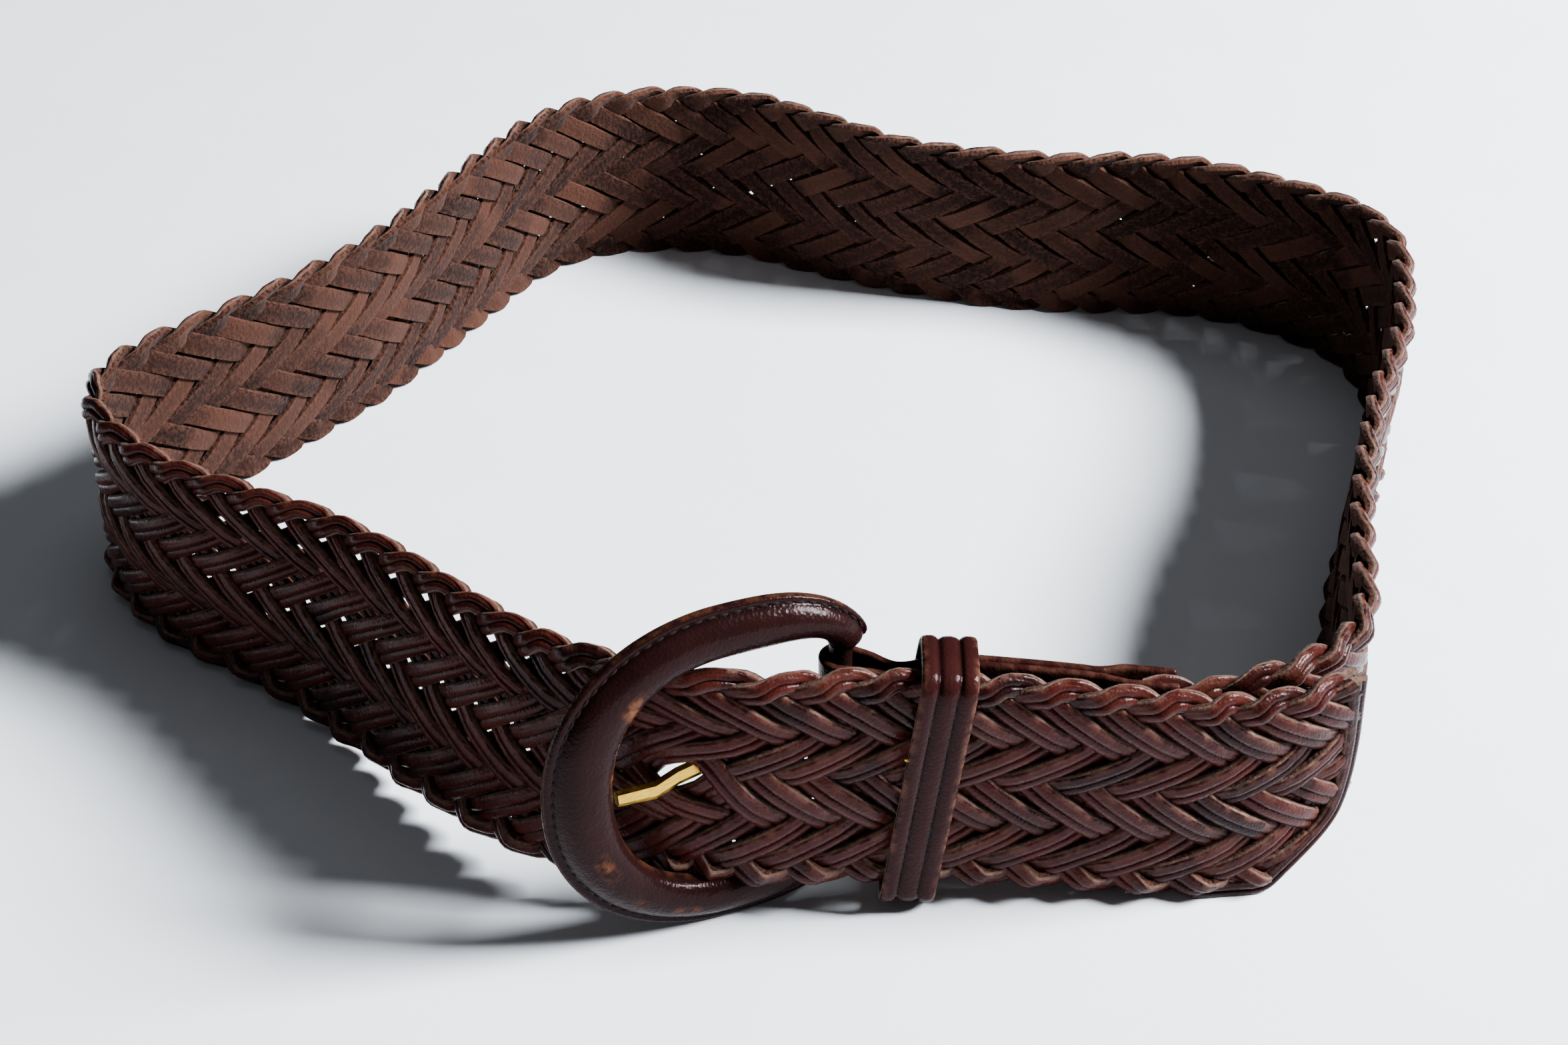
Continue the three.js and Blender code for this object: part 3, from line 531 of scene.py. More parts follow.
def plain(name, color, rough):
    """One dull colour, a little uneven."""
    material, nodes, links, shader = new_material(name)
    shade = noise(nodes, links, 30.0, 3.0)
    base = ramp(nodes, links, shade, [(0.3, tuple(0.97 * c for c in color)), (0.7, color)])
    links.new(base, shader.inputs["Base Color"])
    shader.inputs["Roughness"].default_value = rough
    shader.inputs["Specular IOR Level"].default_value = 0.1
    return material


strand_grain = grain_leather(
    "strand_grain", GRAIN_DARK, GRAIN_LIGHT, GRAIN_WORN_AND_HIGHLIGHT, rough=(0.2, 0.4), shine=(0.08, 0.025),
)
cut_edge = raw_leather("cut_edge", RAW_DARK, RAW_LIGHT)
strand_suede = suede("strand_suede", SUEDE_DARK, SUEDE_MIDDLE, SUEDE_LIGHT)
rim_leather = grain_leather(
    "rim_leather", RIM_DARK, RIM_LIGHT, RIM_WORN, rough=(0.16, 0.3), shine=(0.045, 0.03),
)
keeper_leather = grain_leather(
    "keeper_leather", KEEPER_DARK, KEEPER_LIGHT, KEEPER_WORN, rough=(0.18, 0.32), shine=(0.04, 0.03),
)
stitch_thread = plain("stitch_thread", THREAD, 0.8)
worn_brass = brass("worn_brass")


# Strands

GRAIN, EDGE, FLESH = 0, 1, 2
# Cut across a strand: share of half its width, share of its thickness, the face that
# follows, how worn the point is and its crease shade. The wear is heaviest on the upper
# edge (+1), where it is also painted highlight; the crease shade is painted shade in the
# grooves and painted shadow along the lower edge (-1).
STRAND_CUT = [
    (-1.00, 0.00, EDGE, 0.3, 0.9), (-0.92, 0.24, GRAIN, 0.2, 0.6), (-0.68, 0.46, GRAIN, 0.0, 0.1),
    (-0.42, 0.52, GRAIN, 0.0, 0.0), (-0.20, 0.45, GRAIN, 0.0, 0.2), (-0.10, 0.33, GRAIN, 0.0, 0.8),
    (0.00, 0.46, GRAIN, 0.0, 0.2), (0.22, 0.57, GRAIN, 0.0, 0.0), (0.46, 0.55, GRAIN, 0.1, 0.0),
    (0.60, 0.46, GRAIN, 0.2, 0.3), (0.76, 0.48, GRAIN, 0.4, 0.0), (0.93, 0.28, EDGE, 0.9, 0.0),
    (1.00, 0.02, FLESH, 1.0, 0.0), (0.92, -0.46, FLESH, 0.5, 0.0), (0.00, -0.52, FLESH, 0.0, 0.0),
    (-0.92, -0.46, FLESH, 0.5, 0.0),
]
WEAVE_DEPTH = 1.12
WAVE_FLATNESS = 1.5
KNOB = 0.75
# A strand near its turn: how far that reaches, its roll, and how much narrower and
# thicker it is.
TURN_REACH = 4.5
TURN_ROLL = 0.62
TURN_NARROWER = 0.14
TURN_THICKER = 0.2
PERIOD = STRANDS * LOOP_PITCH
STEEP = (STRAP_WIDTH / 2 - TURN_INSET + TURN_ROUND) / (PERIOD / 4)
LOW_STEEP = (STRAP_WIDTH / 2 - TURN_INSET + LOW_ROUND) / (PERIOD / 4)
BRAID_START = HOLE_AT % LOOP_PITCH - LOOP_PITCH / 2
STEP_TURN, STEP_FLAT, STEP_FINE = 1.15, 2.9, 0.25
# Wobble up the width, outward and in roll: size and length.
WOBBLE_UP, WOBBLE_OUT, WOBBLE_ROLL = (0.4, 17.0), (0.14, 11.0), (0.10, 13.0)
# Stretch where the upper half of the weave is open, how fast that comes and goes, and
# how much narrower the strands are there.
LOOSE_FROM, LOOSE_TO, LOOSE_RUN = 150.0, 285.0, 25.0
LOOSE_NARROWER = 0.16
# Strands pushed aside by the prong: how far, and how far along and across that reaches.
PUSH, PUSH_ALONG, PUSH_ACROSS, PUSH_FADE = 3.0, 8.0, 3.0, 5.0
# How far before TONGUE_START the strap begins to get thin and narrow, and how long it takes.
THIN_FROM, THIN_RUN = 19.4, 6.0
NARROW_FROM, NARROW_RUN = 13.0, 7.0
TIP_MARGIN = 1.8
# Strands round the tip: size, distance from the tip's end, length under the lower loops,
# height where they start as a share of the width, points, and rounds of smoothing.
BINDING_WIDTH, BINDING_THICK = 4.4, 2.2
BINDING_INSET, BINDING_UNDER, BINDING_LOW = 2.3, 13.0, 0.035
UNDER_POINTS, ROUND_POINTS, BINDING_ROUNDS = 14, 90, 12
random = np.random.default_rng(7)


def tip_start(share):
    """Where the rounded tip begins along the strap, at a share of its width."""
    shares = [row[0] for row in TIP_OUTLINE][::-1]
    places = [row[1] for row in TIP_OUTLINE][::-1]
    return TIP_LENGTH * np.interp(share, shares, places)


def wander(s, size, length):
    """A slow random wobble along a strand."""
    knots = np.arange(-length, PATH_LENGTH + 2 * length, length)
    return size * np.interp(s, knots, random.uniform(-1, 1, len(knots)))


def part_for_prong(s, z, rising):
    """Moves strands apart where the prong goes through."""
    run = np.hypot(1.0, STEEP)
    side = np.where(rising, 1.0, -1.0)
    ts, tz = 1 / run, side * STEEP / run
    ns, nz = -tz, ts
    ds, dz = s - HOLE_AT, z - HOLE_Z
    along = ds * ts + dz * tz
    aside = ds * ns + dz * nz
    beyond = np.maximum(np.abs(aside) - PUSH_ACROSS, 0)
    near = np.exp(-((along / PUSH_ALONG) ** 2) - (beyond / PUSH_FADE) ** 2)
    push = PUSH * np.sign(aside) * near
    return s + push * ns, z + push * nz


def strand_steps(number):
    """Places along the strap for a strand's rings, closer together at its turns."""
    s = np.arange(0.0, STRAP_END, STEP_FINE)
    from_turn = np.abs((s - BRAID_START - number * LOOP_PITCH + PERIOD / 4) % (PERIOD / 2) - PERIOD / 4)
    step = STEP_TURN + (STEP_FLAT - STEP_TURN) * smooth((from_turn - TURN_REACH) / 4)
    count = np.concatenate([[0.0], np.cumsum(STEP_FINE / step[:-1])])
    return np.interp(np.arange(0, count[-1]), count, s)


def strand_line(number):
    """Centre of one strand: s, z, d, roll, run number for the tone and distance to its nearest turn."""
    s = strand_steps(number)
    phase = (s - BRAID_START - number * LOOP_PITCH + PERIOD / 2) % PERIOD - PERIOD / 2
    rising = phase < 0
    from_top = np.abs(phase)
    from_bottom = PERIOD / 2 - from_top
    nearest = np.minimum(from_top, from_bottom)
    upper = STRAP_WIDTH - TURN_INSET + TURN_ROUND - np.hypot(STEEP * nearest, TURN_ROUND)
    lower = TURN_INSET - LOW_ROUND + np.hypot(LOW_STEEP * nearest, LOW_ROUND)
    z = np.where(from_top < from_bottom, upper, lower)
    count = from_top / CROSSING
    side = np.where(rising, 1, -1)
    wave = np.sin(np.pi * (count - 1.5) / 3) * side
    wave = np.tanh(WAVE_FLATNESS * wave) / math.tanh(WAVE_FLATNESS)
    turn = smooth(count / 0.8) * smooth((STRANDS - count) / 0.8)
    at_edge = np.exp(-((nearest / CROSSING - 0.8) / 0.5) ** 2)
    d = WEAVE_DEPTH * wave * turn + KNOB * at_edge * np.clip(wave, -0.4, 1.0)
    lean_top = -TURN_ROLL * np.exp(-((from_top / TURN_REACH) ** 2))
    lean_bottom = TURN_ROLL * np.exp(-((from_bottom / TURN_REACH) ** 2))
    roll = lean_top + lean_bottom + 0.12 * np.maximum(wave, 0) * turn
    z = z + wander(s, *WOBBLE_UP) * turn
    d = d + wander(s, *WOBBLE_OUT)
    roll = roll + wander(s, *WOBBLE_ROLL)
    s, z = part_for_prong(s, z, rising)
    runs = np.floor((s + number * LOOP_PITCH) / (3 * CROSSING)).astype(int)
    return s, z, d, roll, runs, nearest


def sweep_strand(s, z, d, roll, width, thick):
    """Rings of points round a strand's centre line in the strap's own measures."""
    ds, dz = np.gradient(s), np.gradient(z)
    run = np.hypot(ds, dz)
    cs, cz = -dz / run, ds / run
    rings = []
    for across, deep, *_ in STRAND_CUT:
        a = across * width / 2
        b = deep * thick
        flat = a * np.cos(roll) - b * np.sin(roll)
        out = a * np.sin(roll) + b * np.cos(roll)
        rings.append(on_strap(s + flat * cs, z + flat * cz, d + out))
    return np.stack(rings, axis=1)


def build_strand(name, lines):
    """One object from a strand's centre lines: (s, z, d, roll, width, thick, tone)."""
    points, faces, slots, paint = [], [], [], []
    for s, z, d, roll, width, thick, tone in lines:
        rings = sweep_strand(s, z, d, roll, width, thick)
        start = len(points)
        ring_faces, sides = skin(rings, False)
        faces.extend(tuple(start + i for i in face) for face in ring_faces)
        slots.extend(STRAND_CUT[side][2] if side >= 0 else EDGE for side in sides)
        points.extend(rings.reshape(-1, 3))
        for t in tone:
            # Tone, wear (also painted highlight on the upper edges) and painted crease shade from the cut.
            paint.extend((t, cut_row[3], cut_row[4], 1.0) for cut_row in STRAND_CUT)
    piece = make_mesh(name, points, faces, slots, [strand_grain, cut_edge, strand_suede])
    paint_leather(piece.data, paint)
    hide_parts("braided_strap")


def thinning(s):
    """Share of the full thickness, less where the strap's end goes into the tab."""
    thin = smooth((s - (TONGUE_START - THIN_FROM)) / THIN_RUN)
    return 1 - (1 - TONGUE_HALF / STRAND_RIDGE) * thin


def strand(number):
    """One of the plaited strands, from the tip to its end in the tab."""
    s, z, d, roll, runs, nearest = strand_line(number)
    tones = random.uniform(0, 1, runs.max() + 2)
    tone = tones[np.clip(runs, 0, None)]
    share = thinning(s)
    narrow = 1 - (1 - TONGUE_NARROW) * smooth((s - TONGUE_START + NARROW_FROM) / NARROW_RUN)
    z = STRAP_WIDTH / 2 + (z - STRAP_WIDTH / 2) * narrow
    bunch = np.exp(-((nearest / TURN_REACH) ** 2)) * np.where(z > STRAP_WIDTH / 2, 1.0, -0.5)
    loose = smooth((s - LOOSE_FROM) / LOOSE_RUN) * smooth((LOOSE_TO - s) / LOOSE_RUN)
    loose = loose * smooth((z - 0.5 * STRAP_WIDTH) / 6)
    width = STRAND_WIDTH * (1 - TURN_NARROWER * bunch) * (1 - LOOSE_NARROWER * loose)
    thick = STRAND_THICK * (1 + TURN_THICKER * np.abs(bunch)) * share
    kept = s > tip_start(z / STRAP_WIDTH) + TIP_MARGIN
    lines = []
    edges = np.flatnonzero(np.diff(np.concatenate([[0], kept.astype(int), [0]])))
    for first, last in zip(edges[::2], edges[1::2]):
        if last - first > 4:
            part = slice(first, last)
            lines.append((
                s[part], z[part], (d * share)[part], roll[part],
                width[part], thick[part], tone[part],
            ))
    build_strand("strand_%02d" % (number + 1), lines)


def tip_binding(name, d, tone):
    """A strand that follows the rounded end of the tip and goes in under the lower loops."""
    up = np.linspace(BINDING_LOW, 1 - BINDING_LOW, ROUND_POINTS)
    share = np.concatenate([np.full(UNDER_POINTS, BINDING_LOW), up])
    back = np.linspace(BINDING_UNDER, 0.0, UNDER_POINTS)
    under = np.concatenate([back, np.zeros(ROUND_POINTS)])
    s = tip_start(share) + under + BINDING_INSET
    z = share * STRAP_WIDTH
    for _ in range(BINDING_ROUNDS):
        s[1:-1] = (s[:-2] + 2 * s[1:-1] + s[2:]) / 4
        z[1:-1] = (z[:-2] + 2 * z[1:-1] + z[2:]) / 4
    count = len(s)
    d = d * (1 - 0.5 * smooth(under / 8))
    width = np.full(count, BINDING_WIDTH)
    thick = np.full(count, BINDING_THICK)
    tones = np.full(count, tone)
    build_strand(name, [(s[::-1], z[::-1], d[::-1], np.zeros(count), width, thick, tones)])


for number in range(STRANDS):
    strand(number)
tip_binding("tip_binding_outer", 1.25, 0.0)
tip_binding("tip_binding_inner", -1.0, 0.3)


# Buckle frame, in its own plane: u to the right, v up, w to the back

CENTRE_V = FRAME_HEIGHT / 2
CENTRE_U = 0.21 * FRAME_LENGTH
OUTER_U = 0.575 * FRAME_LENGTH
INNER_U = OUTER_U - RIM_CROWN
HALF = FRAME_HEIGHT / 2
OPEN = STRAP_WIDTH / 2
OUTER_POWER, INNER_POWER = 2.15, 2.3
CROWN_CUTS = 20
CROWN_ARC = 0.96
STITCH_PITCH = 2.5
STITCH_THICK = 0.7
STITCH_FROM, STITCH_TO = 0.25, 2.0
GROOVE = (0.72, -0.22)
RIM_TONE = 0.4
# Rim beyond the crown: outer u, outer v, inner u, inner v and depth, as shares of
# BAR_U, half the height, BAR_U, half the window, and the full depth.
SHOULDER = [
    (0.606, 0.997, 0.550, 1.000, 1.00),
    (0.831, 0.944, 0.718, 1.000, 0.97),
    (1.014, 0.842, 0.834, 0.984, 0.93),
    (1.132, 0.713, 0.900, 0.932, 0.90),
    (1.172, 0.606, 0.930, 0.864, 0.86),
]
# Cut across the rim from its inner edge: place, height as a share of the dome or the
# back, wear, and crease shade: painted shade in the stitch groove.
RIM_CUT = [
    (-1.00, 0.30, 0.3, 0.0), (-0.99, -0.10, 0.15, 0.0), (-0.93, -0.50, 0.0, 0.0), (-0.78, -0.78, 0.0, 0.0),
    (-0.50, -0.96, 0.0, 0.0), (-0.15, -1.00, 0.0, 0.0), (0.16, -0.92, 0.0, 0.0), (0.40, -0.74, 0.0, 0.0),
    (0.57, -0.52, 0.0, 0.0), (0.66, -0.34, 0.0, 0.6), (0.72, -0.22, 0.0, 1.0), (0.79, -0.27, 0.0, 0.3),
    (0.93, -0.26, 0.0, 0.0), (1.00, -0.12, 0.2, 0.0), (1.00, 0.30, 0.15, 0.0), (0.93, 0.55, 0.0, 0.0),
    (0.55, 0.86, 0.0, 0.0), (0.10, 1.00, 0.0, 0.0), (-0.45, 1.00, 0.0, 0.0), (-0.85, 0.85, 0.2, 0.0),
]
# Scuffs on the rim: number of the cut from the left (below the middle when negative),
# point of the cut and strength.
RIM_SCUFFS = [
    (9, 3, 0.4), (10, 3, 0.6), (10, 4, 0.7), (11, 4, 0.7), (12, 4, 0.3),
    (2, 2, 0.6), (3, 2, 0.7), (4, 2, 0.4),
    (-5, 5, 0.35), (-6, 5, 0.6), (-7, 5, 0.3), (-12, 6, 0.45), (-16, 6, 0.5), (-17, 6, 0.45),
]


def on_frame(u, v, w):
    """A point of the frame's plane on the plan."""
    along = u - BAR_U
    back = v * math.sin(FRAME_LEAN) + w * math.cos(FRAME_LEAN)
    return np.array([
        along * math.cos(FRAME_YAW) - back * math.sin(FRAME_YAW),
        along * math.sin(FRAME_YAW) + back * math.cos(FRAME_YAW),
        v * math.cos(FRAME_LEAN) + (RIM_BACK - w) * math.sin(FRAME_LEAN),
    ])


def oval(angle, wide, high, power):
    """A point of an oval whose sides are fuller as the power grows."""
    c, s = math.cos(angle), math.sin(angle)
    return np.array([
        CENTRE_U + wide * math.copysign(abs(c) ** (2 / power), c),
        high * math.copysign(abs(s) ** (2 / power), s),
    ])


def rim_cuts():
    """Outer point, inner point, depth and roundness of each cut, from the left to the bar."""
    cuts = []
    for k in range(CROWN_CUTS + 1):
        angle = math.pi - CROWN_ARC * k * math.pi / (2 * CROWN_CUTS)
        outer = oval(angle, OUTER_U, HALF, OUTER_POWER)
        inner = oval(angle, INNER_U, OPEN, INNER_POWER)
        cuts.append((outer, inner, 1.0, 0.0))
    for uo, vo, ui, vi, deep in SHOULDER:
        cuts.append((np.array([uo * BAR_U, vo * HALF]), np.array([ui * BAR_U, vi * OPEN]), deep, 0.0))
    top = OPEN - 2 * BAR_RADIUS
    for v in (top, top - 1.1 * BAR_RADIUS):
        cuts.append((np.array([BAR_U + BAR_RADIUS, v]), np.array([BAR_U - BAR_RADIUS, v]), 1.0, 1.0))
    return cuts


def rim_point(cut, place, height, turn):
    """A point of one cut, which goes round as the cut becomes the round bar."""
    outer, inner, deep, rounded = cut
    middle, arm = (outer + inner) / 2, (outer - inner) / 2
    w = height * (RIM_DOME if height < 0 else RIM_BACK) * deep
    q = place + (math.cos(turn) - place) * rounded
    w = w + (math.sin(turn) * BAR_RADIUS - w) * rounded
    return on_frame(middle[0] + arm[0] * q, CENTRE_V + middle[1] + arm[1] * q, w)


def mirrored(cut):
    """A cut turned upside down."""
    flip = np.array([1.0, -1.0])
    return (cut[0] * flip, cut[1] * flip, cut[2], cut[3])


def build_rim():
    """The domed leather cover of the frame, scuffed and with a groove for the stitches."""
    half = rim_cuts()
    cuts = half + [mirrored(cut) for cut in half[:0:-1]]
    scuffs = {(number % len(cuts), point): strength for number, point, strength in RIM_SCUFFS}
    rings = []
    paint = []
    for number, cut in enumerate(cuts):
        ring = []
        for k, (place, height, wear_and_highlight, crease_shade) in enumerate(RIM_CUT):
            turn = math.pi + 2 * math.pi * k / len(RIM_CUT)
            wear_and_highlight = max(wear_and_highlight, scuffs.get((number, k), 0.0))
            ring.append(rim_point(cut, place, height, turn))
            # Wear, and painted shade in the stitch groove; neither on the bar.
            paint.extend([RIM_TONE, wear_and_highlight * (1 - cut[3]), crease_shade * (1 - cut[3]), 1.0])
        rings.append(ring)
    faces, _ = skin(rings, True)
    points = [p for ring in rings for p in ring]
    piece = make_mesh("buckle_rim", points, faces, None, [rim_leather])
    paint_leather(piece.data, paint)
    add_subdivision(piece, 2)
    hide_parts("buckle_frame")


def capsule(points, faces, start, end, thick, up):
    """Adds one short stitch from start to end, rounded along up."""
    along = (end - start) / np.linalg.norm(end - start)
    side = np.cross(along, up)
    side /= np.linalg.norm(side)
    up = np.cross(side, along)
    first = len(points)
    sections = [(0.0, 0.35), (0.2, 0.85), (0.5, 1.0), (0.8, 0.85), (1.0, 0.35)]
    corners = 6
    for t, size in sections:
        centre = start + (end - start) * t
        for k in range(corners):
            turn = 2 * math.pi * k / corners
            points.append(centre + size * thick / 2 * (math.cos(turn) * side + math.sin(turn) * up))
    for r in range(len(sections) - 1):
        for k in range(corners):
            n = (k + 1) % corners
            low, high = first + r * corners, first + (r + 1) * corners
            faces.append((low + k, low + n, high + n, high + k))
    faces.append(tuple(first + k for k in range(corners)))
    last = first + (len(sections) - 1) * corners
    faces.append(tuple(last + corners - 1 - k for k in range(corners)))


def build_stitches():
    """A row of short stitches along the rim's groove."""
    half = rim_cuts()
    cuts = [mirrored(cut) for cut in half[-3:0:-1]] + half[:-2]
    line = np.array([rim_point(cut, *GROOVE, 0.0) for cut in cuts])
    length = np.concatenate([[0.0], np.cumsum(np.linalg.norm(np.diff(line, axis=0), axis=1))])
    up = on_frame(0, 0, -1) - on_frame(0, 0, 0)
    points, faces = [], []
    for k in range(int(length[-1] / STITCH_PITCH)):
        ends = []
        for at in (STITCH_FROM, STITCH_TO):
            place = k * STITCH_PITCH + at
            ends.append(np.array([np.interp(place, length, line[:, i]) for i in range(3)]))
        capsule(points, faces, *ends, STITCH_THICK, up)
    piece = make_mesh("buckle_stitches", points, faces, None, [stitch_thread])


# Leather tab folded round the bar: a runs along the strap, b across it and h up it

BAR_CLEAR = BAR_RADIUS + GAP
FOLD = BAR_CLEAR + TAB_LEATHER
FLARE_LOWER, FLARE_UPPER, FLARE_RUN, FLARE_END = 11.0, 7.0, 10.0, 16.0
TAB_NARROW = 0.365 * STRAP_WIDTH
TAB_FULL = 0.485 * STRAP_WIDTH
TAB_STEP = 1.2
TAB_ROWS = 44
TAB_TONE, TAB_WEAR = 0.4, 0.25
NOTCH_HALF = (2.3 * PRONG_HEIGHT + 2 * GAP) / 2
NOTCH_END = 1.45 * FOLD
COVER_LESS = 0.15


def on_tab(a, b, h):
    """A point of the tab on the plan, from the leaning bar to the upright strap."""
    base = on_frame(BAR_U, CENTRE_V, 0)
    lean = math.tan(FRAME_LEAN) * (1 - smooth(a / FLARE_LOWER))
    x = base[0] + a
    last = PATH[-1]
    rear = last_beyond(max(x, last[0] + 2 * GAP))
    lift = rear[3] if x > last[0] else last[3] + (last[0] - x) * LIFT_SLOPE
    share = smooth(a / (TAB_LENGTH - 2 * TAB_POCKET))
    y = base[1] + (rear[1] - base[1]) * share
    settle = smooth(a / FLARE_END)
    z = base[2] + (STRAP_WIDTH / 2 + LIFT * lift - base[2]) * settle
    slope = LIFT_SLOPE * LIFT * settle
    return np.array([
        x + h * (slope - lean * math.sin(FRAME_YAW)),
        y + b + h * lean * math.cos(FRAME_YAW),
        z + h,
    ])


def tab_half(a, level):
    """Half the tab's width, narrower at the bar."""
    start = FLARE_LOWER if level < 0 else FLARE_UPPER
    return TAB_NARROW + (TAB_FULL - TAB_NARROW) * smooth((a - start) / FLARE_RUN)


def tab_line():
    """Middle of the leather from the back of the pocket round the bar to its front."""
    pocket = TONGUE_HALF + 1.5 * GAP + 0.35 * TAB_LEATHER
    flat = 0.5 * TAB_LEATHER + SEAT / 2
    turn = FOLD - TAB_LEATHER / 2
    start = TAB_LENGTH - TAB_POCKET
    keys = [(TAB_LENGTH, pocket), (start, pocket), (start - TAB_POCKET / 2, flat), (TAB_LENGTH / 2, flat),
            (3.3 * FOLD, flat), (2 * FOLD, 0.34 * FOLD), (0.8 * FOLD, 0.70 * FOLD)]
    upper = []
    for (a0, b0), (a1, b1) in zip(keys, keys[1:]):
        steps = max(1, round((a0 - a1) / TAB_STEP))
        upper.extend((a0 + (a1 - a0) * k / steps, b0 + (b1 - b0) * k / steps) for k in range(steps))
    bend = [(-turn * math.sin(k * math.pi / 12), turn * math.cos(k * math.pi / 12)) for k in range(13)]
    return upper + bend + [(a, -b) for a, b in upper[::-1]]


def build_tab():
    """The folded strip of leather, with a slot at the fold for the prong."""
    line = tab_line()
    shell = bmesh.new()
    grid = []
    for a, b in line:
        column = []
        for k in range(TAB_ROWS + 1):
            level = 2 * k / TAB_ROWS - 1
            h = level * tab_half(a, level)
            column.append((shell.verts.new((on_tab(a, b, h) + BAR_PLACE) * MM), a, h))
        grid.append(column)
    for i in range(len(grid) - 1):
        for k in range(TAB_ROWS):
            corners = [grid[i][k], grid[i + 1][k], grid[i + 1][k + 1], grid[i][k + 1]]
            a = sum(c[1] for c in corners) / 4
            h = sum(c[2] for c in corners) / 4
            if a > NOTCH_END or abs(h) > NOTCH_HALF:
                shell.faces.new([c[0] for c in corners])
    loose = [v for v in shell.verts if not v.link_faces]
    bmesh.ops.delete(shell, geom=loose, context="VERTS")
    bmesh.ops.recalc_face_normals(shell, faces=shell.faces)
    mesh = bpy.data.meshes.new("tab_leather")
    shell.to_mesh(mesh)
    shell.free()
    mesh.polygons.foreach_set("use_smooth", [True] * len(mesh.polygons))
    mesh.materials.append(keeper_leather)
    paint_leather(mesh, np.tile([TAB_TONE, TAB_WEAR, 0.0, 1.0], len(mesh.vertices)))
    piece = bpy.data.objects.new("tab_leather", mesh)
    bpy.context.scene.collection.objects.link(piece)
    solidify = piece.modifiers.new("Thickness", "SOLIDIFY")
    solidify.thickness = (TAB_LEATHER - COVER_LESS) * MM
    solidify.offset = 0.0
    add_subdivision(piece, 1)
    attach(piece, "root")
    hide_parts("buckle_tab")


# Keeper: a grooved leather band round both layers

# Cut across the keeper: place as a share of half the width, height as a share of the
# leather, wear, and crease shade: painted shade in its two grooves.
KEEPER_CUT = [
    (-0.97, 0.02, 0.5, 0.0), (0.0, 0.0, 0.0, 0.0), (0.97, 0.02, 0.5, 0.0), (1.00, 0.20, 1.0, 0.0),
    (1.00, 0.72, 1.0, 0.0), (0.93, 0.92, 0.4, 0.0), (0.72, 1.05, 0.0, 0.0), (0.52, 0.98, 0.0, 0.0),
    (0.43, 0.78, 0.0, 0.6), (0.37, 0.58, 0.0, 1.0), (0.31, 0.76, 0.0, 0.5), (0.20, 0.92, 0.0, 0.0),
    (0.0, 0.98, 0.0, 0.0), (-0.20, 0.92, 0.0, 0.0), (-0.31, 0.76, 0.0, 0.5), (-0.37, 0.58, 0.0, 1.0),
    (-0.43, 0.78, 0.0, 0.6), (-0.52, 0.98, 0.0, 0.0), (-0.72, 1.05, 0.0, 0.0), (-0.93, 0.92, 0.4, 0.0),
    (-1.00, 0.72, 1.0, 0.0), (-1.00, 0.20, 1.0, 0.0),
]
# Sides of that cut that are raw leather.
KEEPER_EDGES = (2, 3, 20, 21)
KEEPER_TONE = 0.45
# Tack: number of the stop it is at, its two ends as places across the keeper, its
# height in the leather and its thickness.
TACK_STOP, TACK_ENDS, TACK_HEIGHT, TACK_THICK = 13, (-0.92, -1.12), 0.55, 1.0


def keeper_path():
    """Inner line of the band: y, z and its outward direction."""
    tip = first_past(KEEPER_PLACE)
    front = tip[1] - STRAND_RIDGE - 3 * GAP
    back = on_tab(KEEPER_PLACE, 0, 0)[1] + TAB_LEATHER + SEAT + 4 * GAP
    low, high = -KEEPER_SLACK, STRAP_WIDTH + GAP
    corner = (back - front) / 5
    middle = ((front + back) / 2, (low + high) / 2)
    reach = ((back - front) / 2 - corner, (high - low) / 2 - corner)
    stops = []
    for sy, sz, quarter in ((1, 1, 0), (-1, 1, 1), (-1, -1, 2), (1, -1, 3)):
        for k in range(6):
            turn = (quarter + k / 5) * math.pi / 2
            ny, nz = math.cos(turn), math.sin(turn)
            y = middle[0] + sy * reach[0] + ny * corner
            z = middle[1] + sz * reach[1] + nz * corner
            stops.append((y, z, ny, nz))
        if quarter in (1, 3):
            y, z, ny, nz = stops[-1]
            stops.extend((y, middle[1] + sz * reach[1] * t, ny, nz) for t in (0.8, 0.4, 0.0, -0.4, -0.8))
    before = path_at(tip[4] - KEEPER_WIDTH / 2)
    after = path_at(tip[4] + KEEPER_WIDTH / 2)
    course = (after[1] - before[1]) / (after[0] - before[0])
    return stops, tip[3] * LIFT, course


def keeper_point(stop, place, height):
    """A point of the band at one stop: place across it, height as a share of the leather."""
    (y, z, ny, nz), (lift, course) = stop
    slope = -LIFT * LIFT_SLOPE
    rise = height * KEEPER_LEATHER
    pz = z + nz * rise
    x = KEEPER_PLACE - slope * (pz - STRAP_WIDTH / 2) + place * KEEPER_WIDTH / 2
    side = y + ny * rise + course * (x - KEEPER_PLACE)
    return np.array([x, side, pz + lift + slope * place * KEEPER_WIDTH / 2])


def build_keeper():
    """The keeper's grooved band."""
    stops, *seat = keeper_path()
    rings, paint = [], []
    for stop in stops:
        rings.append([keeper_point((stop, seat), q, up) for q, up, _, _ in KEEPER_CUT])
        for _, _, wear_and_highlight, crease_shade in KEEPER_CUT:
            # Wear, and painted shade in the grooves.
            paint.extend([KEEPER_TONE, wear_and_highlight, crease_shade, 1.0])
    faces, sides = skin(rings, True)
    slots = [1 if side in KEEPER_EDGES else 0 for side in sides]
    points = [p for ring in rings for p in ring]
    piece = make_mesh("keeper_band", points, faces, slots, [keeper_leather, cut_edge])
    paint_leather(piece.data, paint)
    add_subdivision(piece, 1)
    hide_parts("keeper_loop")


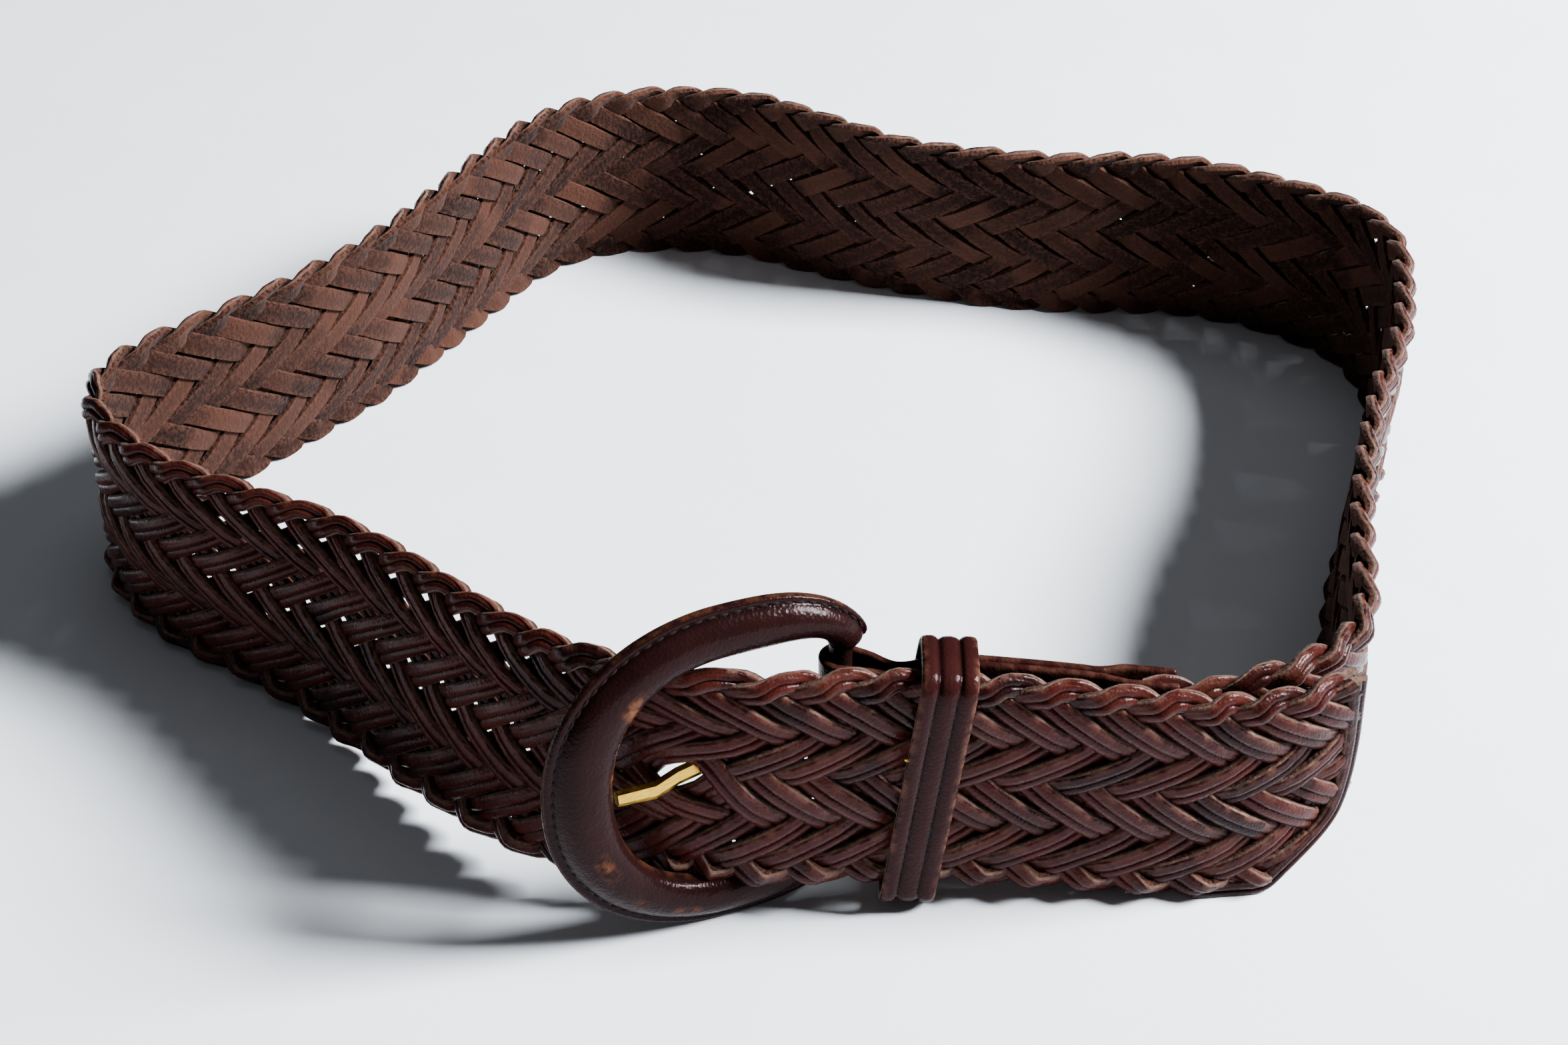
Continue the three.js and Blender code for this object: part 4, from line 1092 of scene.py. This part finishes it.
def build_tack():
    """A small brass tack in the keeper's left edge, at the front."""
    stops, *seat = keeper_path()
    stop = (stops[TACK_STOP], seat)
    points, faces = [], []
    ends = [keeper_point(stop, place, TACK_HEIGHT) for place in TACK_ENDS]
    capsule(points, faces, *ends, TACK_THICK, np.array([0.0, 0.0, 1.0]))
    piece = make_mesh("keeper_tack", points, faces, None, [worn_brass])


build_rim()
build_stitches()
build_tab()
build_keeper()
build_tack()
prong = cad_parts["buckle_prong"]
prong.data.materials.clear()
prong.data.materials.append(worn_brass)


# Stage, light and camera

FLOOR_HALF = 6.0
WINDOW_PLACE, WINDOW_SIZE, WINDOW_POWER = (1.24, 0.0, 1.0), (0.5, 0.5), 172.0
SKY_PLACE, SKY_SIZE, SKY_POWER = (0.1, 0.2, 1.7), (1.2, 1.2), 1.5
WINDOW_COLOR, SKY_COLOR = (0.93, 0.97, 1.0), (0.92, 0.96, 1.0)
WORLD_COLOR, WORLD_STRENGTH = (0.80, 0.84, 0.90, 1.0), 0.07
CAMERA_PLACE = (0.001204, -0.465869, 0.3412)
CAMERA_PITCH, CAMERA_ROLL = math.radians(35.8793), math.radians(1.5647)
CAMERA_LENS, CAMERA_SENSOR = 56.97, 36.0


def build_floor():
    """A wide pale floor at the height that the belt stands on."""
    mesh = bpy.data.meshes.new("floor")
    corners = [(x * FLOOR_HALF, y * FLOOR_HALF, 0.0) for x, y in ((-1, -1), (1, -1), (1, 1), (-1, 1))]
    mesh.from_pydata(corners, [], [(0, 1, 2, 3)])
    mesh.materials.append(plain("pale_floor", FLOOR, 0.8))
    floor = bpy.data.objects.new("floor", mesh)
    bpy.context.scene.collection.objects.link(floor)


def area_light(name, place, size, power, color):
    """A soft light that looks at the belt's middle."""
    data = bpy.data.lights.new(name, "AREA")
    data.shape = "RECTANGLE"
    data.size, data.size_y = size
    data.energy = power
    data.color = color
    light = bpy.data.objects.new(name, data)
    light.location = place
    aim = Vector((0.0, 0.0, 0.0))
    light.rotation_euler = (aim - Vector(place)).to_track_quat("-Z", "Y").to_euler()
    bpy.context.scene.collection.objects.link(light)


def build_camera():
    """The photo's camera: looking down at the belt's front and a little rolled."""
    forward = Vector((0.0, math.cos(CAMERA_PITCH), -math.sin(CAMERA_PITCH)))
    up = Vector((0.0, math.sin(CAMERA_PITCH), math.cos(CAMERA_PITCH)))
    right = Vector((1.0, 0.0, 0.0))
    x = math.cos(CAMERA_ROLL) * right + math.sin(CAMERA_ROLL) * up
    y = math.cos(CAMERA_ROLL) * up - math.sin(CAMERA_ROLL) * right
    data = bpy.data.cameras.new("camera")
    data.sensor_width = CAMERA_SENSOR
    data.lens = CAMERA_LENS
    camera = bpy.data.objects.new("camera", data)
    camera.matrix_world = Matrix((
        (x[0], y[0], -forward[0], CAMERA_PLACE[0]),
        (x[1], y[1], -forward[1], CAMERA_PLACE[1]),
        (x[2], y[2], -forward[2], CAMERA_PLACE[2]),
        (0.0, 0.0, 0.0, 1.0),
    ))
    bpy.context.scene.collection.objects.link(camera)
    bpy.context.scene.camera = camera


build_floor()
area_light("window", WINDOW_PLACE, WINDOW_SIZE, WINDOW_POWER, WINDOW_COLOR)
area_light("sky", SKY_PLACE, SKY_SIZE, SKY_POWER, SKY_COLOR)
world = bpy.data.worlds.new("studio")
world.use_nodes = True
world.node_tree.nodes["Background"].inputs["Color"].default_value = WORLD_COLOR
world.node_tree.nodes["Background"].inputs["Strength"].default_value = WORLD_STRENGTH
bpy.context.scene.world = world
build_camera()
